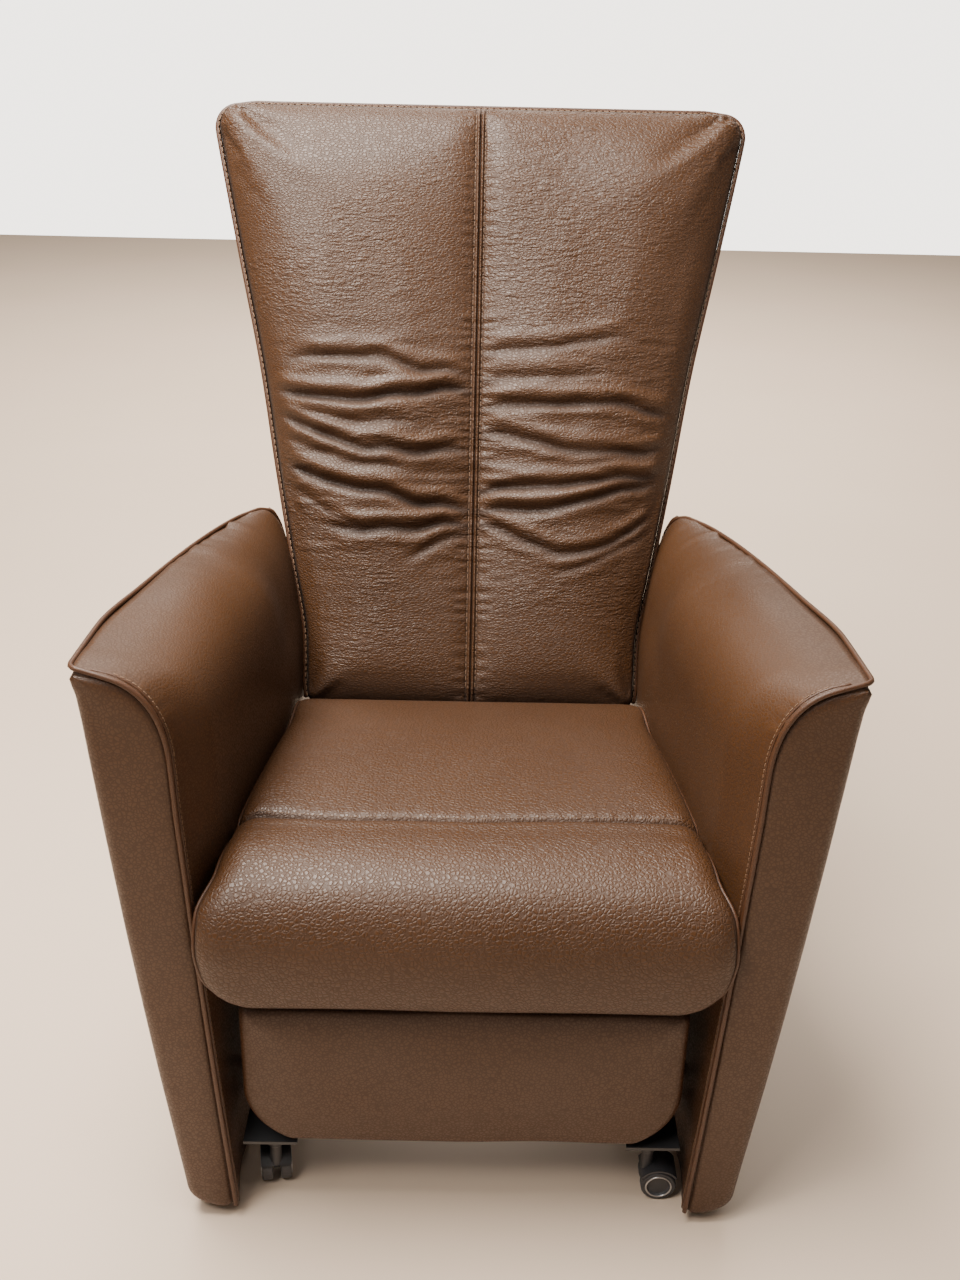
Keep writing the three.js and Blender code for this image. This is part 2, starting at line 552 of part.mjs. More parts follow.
function footrestRunners() {
  const rodHole = (x) => crossBar(x - 30, x + 30, HINGE.y, HINGE.z, 5 + GAP, 20);
  for (const [side, sign] of SIDES) {
    const x = sign * (RAIL.x + RAIL.width / 2);
    const outer = onRunners(block([-12, 12], [18, 275], [-12, 12]), x);
    const bore = onRunners(block([-9.5, 9.5], [10, 285], [-9.5, 9.5]), x);
    const hangers = [[-268, -246], [-52, -30]].map(([y0, y1]) => {
      const z = HINGE.z + 11.5 - Math.tan(RUN_ANGLE) * (y1 - HINGE.y);
      return block([x - 12, x + 12], [y0, y1], [z, RAIL.bottom - GAP]);
    });
    place(`footrest_channel_${side}`, cut(join(outer, hangers), [bore]), "steel");
    const runner = onRunners(block([-8.5, 8.5], [-9, 300], [-8.5, 8.5]), x);
    const hollow = onRunners(block([-6.5, 6.5], [14, 310], [-6.5, 6.5]), x);
    place(`footrest_runner_${side}`, cut(runner, [hollow, rodHole(x)]), "zinc");
  }
  place("footrest_hinge_rod", crossBar(-212, 212, HINGE.y, HINGE.z, 5, 20), "zinc");
}

function footrest() {
  const { front, half, bottom, top, pad, board } = FOOTREST;
  const shape = new THREE.Shape();
  const low = 74; // lower corners' radius
  const high = 16; // upper corners' radius
  shape.moveTo(-half + low, bottom);
  shape.lineTo(half - low, bottom);
  shape.absarc(half - low, bottom + low, low, -Math.PI / 2, 0, false);
  shape.absarc(half - high, top - high, high, 0, Math.PI / 2, false);
  shape.absarc(-half + high, top - high, high, Math.PI / 2, Math.PI, false);
  shape.absarc(-half + low, bottom + low, low, Math.PI, 1.5 * Math.PI, false);
  place("footrest_pad", plateXZ(shape, front, pad, 12), "leather");
  const boardFront = front + pad + GAP;
  const boardRear = boardFront + board;
  const timber = polygon([
    [-228, 150], [-195, 109], [195, 109], [228, 150], [228, 286], [-228, 286],
  ]);
  place("footrest_board", plateXZ(timber, boardFront, board), "plywood");
  const bracket = new THREE.Shape();
  bracket.moveTo(boardRear + GAP, 286);
  bracket.lineTo(boardRear + GAP, 222);
  bracket.lineTo(boardRear + 3.4, 222);
  bracket.lineTo(HINGE.y + 6, HINGE.z - 9);
  bracket.absarc(HINGE.y, HINGE.z, 11, -0.95, Math.PI * 0.75, false);
  bracket.closePath();
  bracket.holes.push(roundHole(HINGE.y, HINGE.z, 5 + GAP));
  for (const [side, sign] of SIDES) {
    place(`footrest_bracket_${side}`, plateYZ(bracket, sign > 0 ? 178 : -183, 5), "steel");
  }
}

base();
CASTORS.forEach(castor);
arms();
releaseLever();
sidePlates();
gasSpring();
reclineTube();
backParts();
seatFrame();
seatCushions();
footrestRunners();
footrest();

chair.position.y = -MID_DEPTH;

export default chair;
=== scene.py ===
"""Recliner armchair in brown leather: the covers, seams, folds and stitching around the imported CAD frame.

Shapes are drawn in metres in the chair's own coordinates (+Z up, the front towards -Y) with Y counted from
the same zero as the CAD drawing. add_mesh() moves every piece by SHIFT, which comes from the frame.
"""
import json
import math

import bpy
import numpy as np
from mathutils import Matrix, Vector


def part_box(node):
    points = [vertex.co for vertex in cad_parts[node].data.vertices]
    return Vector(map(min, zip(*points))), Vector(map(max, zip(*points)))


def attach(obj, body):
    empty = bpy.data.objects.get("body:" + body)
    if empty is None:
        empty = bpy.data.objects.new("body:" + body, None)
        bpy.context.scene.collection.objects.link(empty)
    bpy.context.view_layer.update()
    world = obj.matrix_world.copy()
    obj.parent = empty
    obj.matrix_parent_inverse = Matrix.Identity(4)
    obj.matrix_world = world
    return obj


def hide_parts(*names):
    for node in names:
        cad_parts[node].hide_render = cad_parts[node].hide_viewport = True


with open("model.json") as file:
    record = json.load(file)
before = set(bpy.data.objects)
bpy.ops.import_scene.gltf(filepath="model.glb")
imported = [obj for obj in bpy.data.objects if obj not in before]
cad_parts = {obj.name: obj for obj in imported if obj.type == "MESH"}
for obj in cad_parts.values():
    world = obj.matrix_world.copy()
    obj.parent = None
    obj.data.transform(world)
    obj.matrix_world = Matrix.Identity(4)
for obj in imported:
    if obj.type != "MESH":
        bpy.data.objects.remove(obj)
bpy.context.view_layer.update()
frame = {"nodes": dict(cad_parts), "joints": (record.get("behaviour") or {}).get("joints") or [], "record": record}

# ---- driving dimensions, in metres ----
ARM_FRONT, ARM_REAR, ARM_BOTTOM = -0.380, 0.240, 0.018
ARM_CORNER, ARM_ROUND = 0.016, 0.024  # radii of an arm's front outer corner and of its rear end
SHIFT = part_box("arm_pad_right")[0].y - ARM_FRONT
JUNCTION = (0.099, 0.442)  # y, z where the backrest's front face meets the seat
RECLINE = math.radians(23.7)
PIVOT = (0.130, 0.360)  # the recline axis
BACK_BOTTOM, BACK_TOP = -0.022, 0.783
BACK_ROUND, BACK_ROUND_LOW = 0.036, 0.018  # radii of the backrest's upper and lower corners
BACK_EDGE = 0.030  # depth of the backrest's piping behind its front face
BACK_REAR = 0.047  # depth of the cushion's flat rear face
BACK_HALF = np.array([[BACK_BOTTOM, 0.060, 0.180, 0.300, 0.435, 0.577, 0.735, 0.805],
                      [0.222, 0.223, 0.243, 0.264, 0.2865, 0.316, 0.348, 0.361]])  # its half-width by height
SHELL_BOTTOM = -0.018
CREASE_Y = -0.262  # the seam between the seat's flat part and its front roll
FOOTREST = {"front": -0.364, "half": 0.249, "low": 0.098, "high": 0.291, "depth": 0.042, "corner": 0.076}
PIPING = 0.0028  # radius
PITCH = 0.0086  # stitch length with its gap
FINER = 3  # parts that each step of a cover's coarse lattice is cut into
UP = [0.0, 0.0, 1.0]
rng = np.random.default_rng(7)


# ---- small maths ----
def smooth(a, b, x):
    """0 below a, 1 above b, and a smooth rise between them."""
    t = np.clip((x - a) / (b - a), 0, 1)
    return t * t * (3 - 2 * t)


def bell(x):
    return np.exp(-x * x)


def peak(x, power):
    """Like bell, but sharper at its top, the more so the lower the power."""
    return np.exp(-np.abs(x) ** power)


def quarter(distance, reach, keep=1.0):
    """The fall of a rounded edge: 1 at the edge and 0 from the reach inward, along a quarter circle."""
    t = 1 - np.clip(distance / reach, 0, 1)
    return 1 - np.sqrt(1 - t * t * keep)


def spread(column, angle):
    """Carries -1..1 to -1..1 with the places near the ends closer together than those in the middle."""
    return np.sin(column * angle) / math.sin(angle)


def crowded(reach, start, count):
    """Distances from an edge that shrink to 0, ever closer together."""
    return reach * (1 - np.sin(np.linspace(start, 1, count) * np.pi / 2))


def spline(xs, ys, at):
    """A smooth curve through a few points, without overshoot (Fritsch-Carlson slopes)."""
    xs, ys, at = (np.asarray(v, float) for v in (xs, ys, at))
    h = np.diff(xs)
    d = np.diff(ys) / h
    before, after = d[:-1], d[1:]
    inner = np.where(before * after > 0, 2 * before * after / (before + after + 1e-12), 0)
    m = np.concatenate([[d[0]], inner, [d[-1]]])
    i = np.clip(np.searchsorted(xs, at, side="right") - 1, 0, len(h) - 1)
    t = np.clip((at - xs[i]) / h[i], 0, 1)
    a, b = (1 + 2 * t) * (1 - t) ** 2, t * t * (3 - 2 * t)
    return a * ys[i] + b * ys[i + 1] + (t * (1 - t) ** 2 * m[i] + t * t * (t - 1) * m[i + 1]) * h[i]


NOISE = rng.standard_normal((64, 64, 64)).astype(np.float32)


def noise(points, scale):
    """Smooth value noise about 0, on a lattice that repeats every 64 cells."""
    p = np.asarray(points) * scale
    base = np.floor(p).astype(int)
    f = p - base
    f = f * f * (3 - 2 * f)
    total = np.zeros(len(p))
    for corner in np.ndindex(2, 2, 2):
        c = (base + corner) % 64
        weight = np.prod(np.where(corner, f, 1 - f), axis=1)
        total += weight * NOISE[c[:, 0], c[:, 1], c[:, 2]]
    return total


def distances(path):
    """How far along a polyline each of its points lies."""
    return np.concatenate([[0], np.cumsum(np.linalg.norm(np.diff(path, axis=0), axis=1))])


def read_off(at, run, points):
    """The points of a polyline at given places, where run gives the place of each of its own points."""
    return np.column_stack([np.interp(at, run, values) for values in np.transpose(points)])


def resample(path, step):
    """The same polyline with points about a step apart, smoothed through a Catmull-Rom curve."""
    path = np.asarray(path, float)
    ends = np.vstack([2 * path[0] - path[1], path, 2 * path[-1] - path[-2]])
    fine = []
    for a, b, c, d in zip(ends, ends[1:], ends[2:], ends[3:]):
        t = np.linspace(0, 1, 13)[:-1, None]
        square, cube = 2 * a - 5 * b + 4 * c - d, 3 * b - a - 3 * c + d
        fine.append(0.5 * (2 * b + (c - a) * t + square * t ** 2 + cube * t ** 3))
    fine = np.vstack([*fine, path[-1:]])
    run = distances(fine)
    return read_off(np.linspace(0, run[-1], max(2, int(run[-1] / step) + 1)), run, fine)


def circle(count, across, up):
    """Points round the unit circle that two directions span."""
    turn = np.linspace(0, 2 * np.pi, count, endpoint=False)
    return np.outer(np.cos(turn), across) + np.outer(np.sin(turn), up)


# ---- making meshes ----
def add_mesh(name, verts, faces, material, body, attributes=None):
    """A smooth-shaded piece that rides on a body. An attribute is one number per vertex for its material."""
    verts = np.array(verts, float) + [0, SHIFT, 0]
    mesh = bpy.data.meshes.new(name)
    mesh.from_pydata(verts.tolist(), [], [list(map(int, f)) for f in faces])
    for key, values in (attributes or {}).items():
        mesh.attributes.new(key, "FLOAT", "POINT").data.foreach_set("value", np.asarray(values, np.float32))
    mesh.shade_smooth()
    mesh.materials.append(material)
    piece = bpy.data.objects.new(name, mesh)
    bpy.context.scene.collection.objects.link(piece)
    if body:
        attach(piece, body)
    return piece


def grid_faces(rows, columns, flip=False, offset=0, wrap=False):
    """Quads of a rows x columns lattice of points; wrap joins the last column to the first."""
    i, j = np.meshgrid(np.arange(rows - 1), np.arange(columns if wrap else columns - 1), indexing="ij")
    i, j = i.ravel(), j.ravel()
    k = (j + 1) % columns
    near, far = i * columns + offset, (i + 1) * columns + offset
    quads = np.column_stack([near + j, near + k, far + k, far + j])
    return (quads[:, ::-1] if flip else quads).tolist()


def tube(rings):
    """A surface through rings of points that closes from the last ring to the first."""
    count, sides = len(rings), len(rings[0])
    faces = grid_faces(count + 1, sides, wrap=True)
    return np.vstack(rings), [[v % (count * sides) for v in face] for face in faces]


def sweep(path, radius, sides=8):
    """A round rope along a path, with domed ends: its points and faces."""
    path = np.asarray(path, float)
    tangent = np.gradient(path, axis=0)
    tangent /= np.linalg.norm(tangent, axis=1)[:, None]
    normal = np.cross(tangent[0], [0.3, 0.2, 0.93])
    rings = []
    for p, t in zip(path, tangent):
        normal = normal - t * np.dot(normal, t)
        normal /= np.linalg.norm(normal)
        rings.append(p + radius * circle(sides, normal, np.cross(t, normal)))
    dome = radius * 0.6
    verts = np.vstack([*rings, path[:1] - tangent[0] * dome, path[-1:] + tangent[-1] * dome])
    faces = grid_faces(len(rings), sides, wrap=True)
    last, tip = (len(rings) - 1) * sides, len(rings) * sides
    for k in range(sides):
        m = (k + 1) % sides
        faces += [[m, k, tip], [last + k, last + m, tip + 1]]
    return verts, faces


def piping(name, path, material, body, radius=PIPING, step=0.006):
    verts, faces = sweep(resample(path, step), radius)
    return add_mesh(name, verts, faces, material, body)


def stitches(name, path, body, pitch=PITCH, length=0.0058, radius=0.0006):
    """A row of thread stitches along a path, as one piece: short rounded capsules with gaps between them."""
    at = resample(path, pitch)
    verts, faces, count = [], [], 0
    for a, b in zip(at, at[1:]):
        along = (b - a) / np.linalg.norm(b - a)
        points = [(a + b) / 2 + along * length * k for k in (-0.5, -0.3, 0, 0.3, 0.5)]
        v, f = sweep(points, radius, 5)
        faces += [[i + count for i in face] for face in f]
        verts.append(v)
        count += len(v)
    return add_mesh(name, np.vstack(verts), faces, THREAD, body)


def lattice_normals(lattice):
    """Unit normals of a rows x columns lattice of points, on the side its faces look to."""
    down, across = np.gradient(lattice, axis=0), np.gradient(lattice, axis=1)
    normal = np.cross(across, down)
    return normal / np.maximum(np.linalg.norm(normal, axis=2), 1e-9)[:, :, None]


def rim(rows, columns):
    """The border of a lattice as a loop of its indices, from its first corner along its first row."""
    first, last = np.arange(columns), (rows - 1) * columns + np.arange(columns)
    right = np.arange(1, rows - 1) * columns + columns - 1
    left = np.arange(rows - 2, 0, -1) * columns
    return np.concatenate([first, right, last[::-1], left])


def closed(lattice, rings, flip=False):
    """A closed body: a lattice for its face, rings of points round its sides, strips across its underside."""
    rows, columns = lattice.shape[:2]
    loop = rim(rows, columns)
    size, count = len(loop), rows * columns
    faces = grid_faces(rows, columns)
    ids = [loop] + [count + k * size + np.arange(size) for k in range(len(rings))]
    for a, b in zip(ids, ids[1:]):
        for k in range(size):
            m = (k + 1) % size
            faces.append([a[m], a[k], b[k], b[m]])
    end = ids[-1]
    left = lambda i: end[(2 * columns + 2 * rows - 4 - i) % size]
    right = lambda i: end[columns - 1 + i]
    faces.append([*end[columns - 1::-1], left(1), right(1)])
    faces += [[right(i), left(i), left(i + 1), right(i + 1)] for i in range(1, rows - 2)]
    faces.append([right(rows - 2), left(rows - 2), *end[2 * columns + rows - 3:columns + rows - 3:-1]])
    if flip:
        faces = [f[::-1] for f in faces]
    return np.vstack([lattice.reshape(-1, 3), *rings]), faces


def finer(values, times):
    """A list's values where each of its steps is cut into equal parts."""
    at = np.arange((len(values) - 1) * times + 1) / times
    return np.interp(at, np.arange(len(values)), values)


def cubic(n, times):
    """Weights that carry n values to a list cut finer, along a smooth curve through them."""
    at = np.arange((n - 1) * times + 1) / times
    i = np.minimum(at.astype(int), n - 2)
    t = at - i
    weights = np.zeros((len(at), n))
    t2, t3 = t ** 2, t ** 3
    parts = (2 * t2 - t - t3, 2 - 5 * t2 + 3 * t3, t + 4 * t2 - 3 * t3, t3 - t2)
    for offset, part in zip((-1, 0, 1, 2), parts):
        np.add.at(weights, (np.arange(len(at)), np.clip(i + offset, 0, n - 1)), part / 2)
    return weights


def cushion(name, shape, rows, columns, sides, sewn, detail, material, flip=False, pressure=3.0, cap=0.012):
    """A padded cover. shape(row, column) gives its face, sides(lattice) the rings of points down its sides.

    The cloth simulation runs on the coarse lattice. Its swelling is carried smoothly to a finer one, where
    detail(lattice, row, column) adds seams and folds and returns the lattice with its shading attributes.
    """
    coarse_r, coarse_c = np.meshgrid(rows, columns, indexing="ij")
    lattice = shape(coarse_r, coarse_c)
    swelling = np.zeros_like(lattice)
    verts, faces = closed(lattice, sides(lattice), flip)
    pinned = np.ones(len(verts), bool)
    pinned[:coarse_r.size] = sewn(coarse_r, coarse_c).ravel()
    trial = add_mesh(name + "_trial", verts, faces, material, None)
    swelling = inflate(trial, pinned, pressure, cap)[:coarse_r.size].reshape(lattice.shape)
    mesh = trial.data
    bpy.data.objects.remove(trial)
    bpy.data.meshes.remove(mesh)
    fine_r, fine_c = np.meshgrid(finer(rows, FINER), finer(columns, FINER), indexing="ij")
    over, across = cubic(len(rows), FINER), cubic(len(columns), FINER)
    swelling = np.einsum("ri,ijk,cj->rck", over, swelling, across)
    fine, painted_shade, painted_highlight = detail(shape(fine_r, fine_c) + swelling, fine_r, fine_c)
    verts, faces = closed(fine, sides(fine), flip)
    spare = np.zeros(len(verts) - painted_shade.size)
    # the cover's sides and underside get 0.3 of painted shade and no painted highlight
    attributes = {"painted_shade": np.append(painted_shade.ravel(), spare + 0.3), "painted_highlight": np.append(painted_highlight.ravel(), spare)}
    return add_mesh(name, verts, faces, material, None, attributes)


def inflate(piece, pinned, pressure, cap, frames=20):
    """Swells a cover over its foam by cloth simulation and returns how far each point moved, up to cap.

    Pinned points are sewn down.
    """
    group = piece.vertex_groups.new(name="sewn")
    group.add(np.flatnonzero(pinned).tolist(), 1.0, "REPLACE")
    cloth = piece.modifiers.new("Cloth", "CLOTH")
    leather = cloth.settings
    leather.quality = 5
    leather.mass = 0.4
    leather.tension_stiffness = leather.compression_stiffness = 25
    leather.shear_stiffness = 8
    leather.bending_stiffness = 3
    leather.use_pressure = True
    leather.uniform_pressure_force = pressure
    leather.vertex_group_mass = "sewn"
    leather.effector_weights.gravity = 0
    cloth.collision_settings.use_collision = False
    cloth.point_cache.frame_start = 1
    cloth.point_cache.frame_end = frames
    for step in range(1, frames + 1):
        bpy.context.scene.frame_set(step)
    shaped = piece.evaluated_get(bpy.context.evaluated_depsgraph_get())
    before, after = (np.empty(len(pinned) * 3) for _ in range(2))
    piece.data.vertices.foreach_get("co", before)
    shaped.data.vertices.foreach_get("co", after)
    bpy.context.scene.frame_set(1)
    moved = (after - before).reshape(-1, 3)
    distance = np.linalg.norm(moved, axis=1)[:, None]
    return moved * np.minimum(1, cap / np.maximum(distance, 1e-9))


# ---- materials ----
class Nodes:
    """A short way to write node materials: calls make nodes and link their inputs."""

    def __init__(self, name):
        self.material = bpy.data.materials.new(name)
        self.material.use_nodes = True
        self.tree = self.material.node_tree
        self.shader = self.tree.nodes["Principled BSDF"]

    def node(self, kind, inputs=None, **settings):
        made = self.tree.nodes.new(kind)
        for key, value in settings.items():
            setattr(made, key, value)
        for key, value in (inputs or {}).items():
            self.join(value, made.inputs[key])
        return made

    def join(self, value, socket):
        if isinstance(value, bpy.types.NodeSocket):
            self.tree.links.new(value, socket)
        else:
            socket.default_value = value

    def maths(self, operation, *values, clamp=False):
        made = self.node("ShaderNodeMath", dict(enumerate(values)), operation=operation, use_clamp=clamp)
        return made.outputs[0]

    def times(self, value, factor, clamp=False):
        return self.maths("MULTIPLY", value, factor, clamp=clamp)

    def plus(self, value, more, clamp=False):
        return self.maths("ADD", value, more, clamp=clamp)

    def mix(self, factor, a, b):
        made = self.node("ShaderNodeMix", data_type="RGBA")
        for key, value in ((0, factor), (6, a), (7, b)):
            self.join(value, made.inputs[key])
        return made.outputs[2]

    def ramp(self, value, low, high):
        """Rescales low..high to 0..1, clamped."""
        span = {0: value, 1: low, 2: high}
        return self.node("ShaderNodeMapRange", span, interpolation_type="SMOOTHSTEP").outputs[0]

    def place(self, stretch=(1, 1, 1)):
        at = self.node("ShaderNodeTexCoord").outputs["Object"]
        return self.node("ShaderNodeMapping", {"Vector": at, "Scale": stretch}).outputs[0]

    def noise(self, at, scale, detail=3, rough=0.5):
        inputs = {"Vector": at, "Scale": scale, "Detail": detail, "Roughness": rough}
        return self.node("ShaderNodeTexNoise", inputs).outputs[0]

    def attribute(self, name):
        return self.node("ShaderNodeAttribute", attribute_name=name).outputs["Fac"]

    def bump(self, height, strength, distance, under=None):
        made = self.node("ShaderNodeBump", {"Height": height, "Strength": strength, "Distance": distance})
        if under is not None:
            self.join(under, made.inputs["Normal"])
        return made.outputs[0]

    def finish(self, **sockets):
        for key, value in sockets.items():
            self.join(value, self.shader.inputs[key.replace("_", " ")])
        return self.material


BROWN = (0.060, 0.0222, 0.0052, 1)
BROWN_LIGHT = (0.074, 0.0285, 0.0075, 1)
BROWN_DARK = (0.015, 0.0052, 0.0014, 1)


def leather(name, base=BROWN, light=BROWN_LIGHT, grain=240, stretch=(1, 1, 1), depth=1.0, wrinkle=0.0):
    """Pebbled leather. Mesh attributes paint shade into creases and hollows and paint highlights onto ridges and
    tops.
    """
    n = Nodes(name)
    at = n.place(stretch)
    warp = n.node("ShaderNodeTexNoise", {"Vector": at, "Scale": grain * 0.28, "Detail": 2.0})
    bent = n.node("ShaderNodeMix", data_type="VECTOR")
    n.join(0.0045, bent.inputs[0])
    n.join(at, bent.inputs[4])
    n.join(warp.outputs[1], bent.inputs[5])
    cells = {"Vector": bent.outputs[1], "Scale": float(grain)}
    cell = n.node("ShaderNodeTexVoronoi", cells, feature="DISTANCE_TO_EDGE")
    pebble = n.ramp(cell.outputs["Distance"], 0.0, 0.26)
    gap = n.maths("SUBTRACT", 1.0, pebble)
    fine = n.noise(at, grain * 3.2, 2)
    broad = n.noise(at, 9.0, 3, 0.6)
    patch = n.noise(at, 38.0, 2)
    tone = n.mix(n.times(n.ramp(broad, 0.3, 0.7), 0.4), base, light)
    tone = n.mix(n.times(n.ramp(patch, 0.35, 0.75), 0.3), tone, base)
    tone = n.mix(n.times(gap, 0.35), tone, BROWN_DARK)
    # painted shade: the next line darkens creases, seams and hollows; painted highlights: the line after lightens
    # ridges and tops
    tone = n.mix(n.times(n.attribute("painted_shade"), 0.9, clamp=True), tone, BROWN_DARK)
    tone = n.mix(n.times(n.attribute("painted_highlight"), 0.6, clamp=True), tone, light)
    rough = n.plus(0.35, n.times(gap, 0.2))
    rough = n.plus(rough, n.times(broad, 0.12))
    rough = n.plus(rough, n.times(n.attribute("painted_shade"), 0.3), clamp=True)
    height = n.plus(pebble, n.times(fine, 0.25))
    normal = n.bump(height, 0.62 * depth, 0.0006)
    if wrinkle:
        lines = n.noise(n.place((0.4, 1, 1.5)), 105.0, 2, 0.45)
        ridge = n.maths("ABSOLUTE", n.maths("SUBTRACT", lines, 0.5))
        where = n.ramp(n.noise(at, 7.0, 1), 0.38, 0.6)
        normal = n.bump(n.times(ridge, where), wrinkle, 0.006, normal)
    return n.finish(Base_Color=tone, Roughness=rough, Normal=normal, Specular_IOR_Level=0.5, Coat_Weight=0.05,
                    Coat_Roughness=0.3)


def thread(name):
    n = Nodes(name)
    at = n.place()
    twist = n.noise(at, 900.0, 2)
    tone = n.mix(twist, (0.13, 0.07, 0.038, 1), (0.27, 0.165, 0.10, 1))
    return n.finish(Base_Color=tone, Roughness=0.6, Normal=n.bump(twist, 0.4, 0.0002))


def painted_steel(name, colour=(0.028, 0.028, 0.030, 1)):
    n = Nodes(name)
    at = n.place()
    peel = n.noise(at, 420.0, 2)
    dust = n.ramp(n.noise(at, 14.0, 4, 0.65), 0.5, 0.8)
    tone = n.mix(n.times(dust, 0.35), colour, (0.10, 0.095, 0.085, 1))
    rough = n.plus(0.38, n.times(dust, 0.25))
    return n.finish(Base_Color=tone, Roughness=rough, Metallic=0.0, Normal=n.bump(peel, 0.12, 0.0003))


def bright_steel(name):
    n = Nodes(name)
    at = n.place((1, 1, 8))
    scratch = n.noise(at, 160.0, 4, 0.7)
    tone = n.mix(scratch, (0.42, 0.42, 0.43, 1), (0.66, 0.66, 0.68, 1))
    rough = n.plus(0.22, n.times(scratch, 0.2))
    return n.finish(Base_Color=tone, Roughness=rough, Metallic=1.0, Normal=n.bump(scratch, 0.08, 0.0002))


def plywood(name):
    n = Nodes(name)
    at = n.place((1, 1, 6))
    rings = {"Vector": at, "Scale": 5.0, "Distortion": 6.0, "Detail": 3.0}
    ring = n.node("ShaderNodeTexWave", rings).outputs[1]
    pore = n.noise(n.place((1, 1, 0.15)), 300.0, 3)
    tone = n.mix(ring, (0.50, 0.33, 0.18, 1), (0.66, 0.48, 0.28, 1))
    tone = n.mix(n.ramp(pore, 0.55, 0.75), tone, (0.35, 0.22, 0.12, 1))
    return n.finish(Base_Color=tone, Roughness=0.62, Normal=n.bump(pore, 0.2, 0.0003))


def webbing(name):
    n = Nodes(name)
    at = n.place()
    weave = n.node("ShaderNodeTexChecker", {"Vector": at, "Scale": 480.0}).outputs[1]
    band = n.node("ShaderNodeTexWave", {"Vector": at, "Scale": 16.0}, wave_profile="SIN").outputs[1]
    tone = n.mix(band, (0.018, 0.016, 0.015, 1), (0.055, 0.048, 0.042, 1))
    return n.finish(Base_Color=tone, Roughness=0.9, Normal=n.bump(weave, 0.5, 0.0004))


def nylon(name, colour=(0.040, 0.040, 0.045, 1), gloss=0.42):
    n = Nodes(name)
    at = n.place()
    spark = n.noise(at, 700.0, 2)
    scuff = n.ramp(n.noise(at, 60.0, 4, 0.7), 0.55, 0.75)
    tone = n.mix(n.times(scuff, 0.4), colour, (0.11, 0.11, 0.115, 1))
    rough = n.plus(gloss, n.times(scuff, 0.25))
    return n.finish(Base_Color=tone, Roughness=rough, Normal=n.bump(spark, 0.15, 0.0002))


THREAD = thread("sewing_thread")
LEATHER = leather("leather", depth=0.4)
LEATHER_BACK = leather("leather_back", stretch=(0.75, 1, 1.25), wrinkle=0.55, depth=0.9)
LEATHER_SEAT = leather("leather_seat", grain=215, depth=1.1)
BROWN_EDGE, BROWN_EDGE_LIGHT = (0.070, 0.0240, 0.0066, 1), (0.094, 0.035, 0.0115, 1)
LEATHER_EDGE = leather("leather_edge", BROWN_EDGE, BROWN_EDGE_LIGHT, grain=520, depth=0.3)
STEEL = painted_steel("painted_steel")
ZINC = bright_steel("zinc_steel")
PLYWOOD = plywood("plywood")
WEBBING = webbing("elastic_webbing")
NYLON = nylon("nylon_dark")
NYLON_HOOD = nylon("nylon_hood", (0.075, 0.075, 0.08, 1), 0.3)
FINISH = {"frame_steel": STEEL, "zinc_steel": ZINC, "plywood": PLYWOOD, "spring_mat": WEBBING, "nylon": NYLON}
for part in frame["record"]["subparts"]:
    if part["material_slot"] in FINISH:
        mesh = frame["nodes"][part["node"]].data
        mesh.materials.clear()
        mesh.materials.append(FINISH[part["material_slot"]])


# ---- backrest ----
def back_point(u, w, s):
    """From the backrest's own frame (across, depth behind the front face, height up it) to the drawing's."""
    y = JUNCTION[0] + w * math.cos(RECLINE) + s * math.sin(RECLINE)
    z = JUNCTION[1] - w * math.sin(RECLINE) + s * math.cos(RECLINE)
    return np.column_stack(np.broadcast_arrays(u, y, z))


def back_frame(points):
    """The reverse of back_point."""
    y, z = points[:, 1] - JUNCTION[0], points[:, 2] - JUNCTION[1]
    w = y * math.cos(RECLINE) - z * math.sin(RECLINE)
    s = y * math.sin(RECLINE) + z * math.cos(RECLINE)
    return points[:, 0], w, s


def back_half(s, bottom=BACK_BOTTOM):
    """Half-width at a height up the backrest, with the corners rounded."""
    half = spline(*BACK_HALF, s) - BACK_ROUND * quarter(BACK_TOP - s, BACK_ROUND, 0.999)
    return half - BACK_ROUND_LOW * quarter(s - bottom, BACK_ROUND_LOW, 0.999)


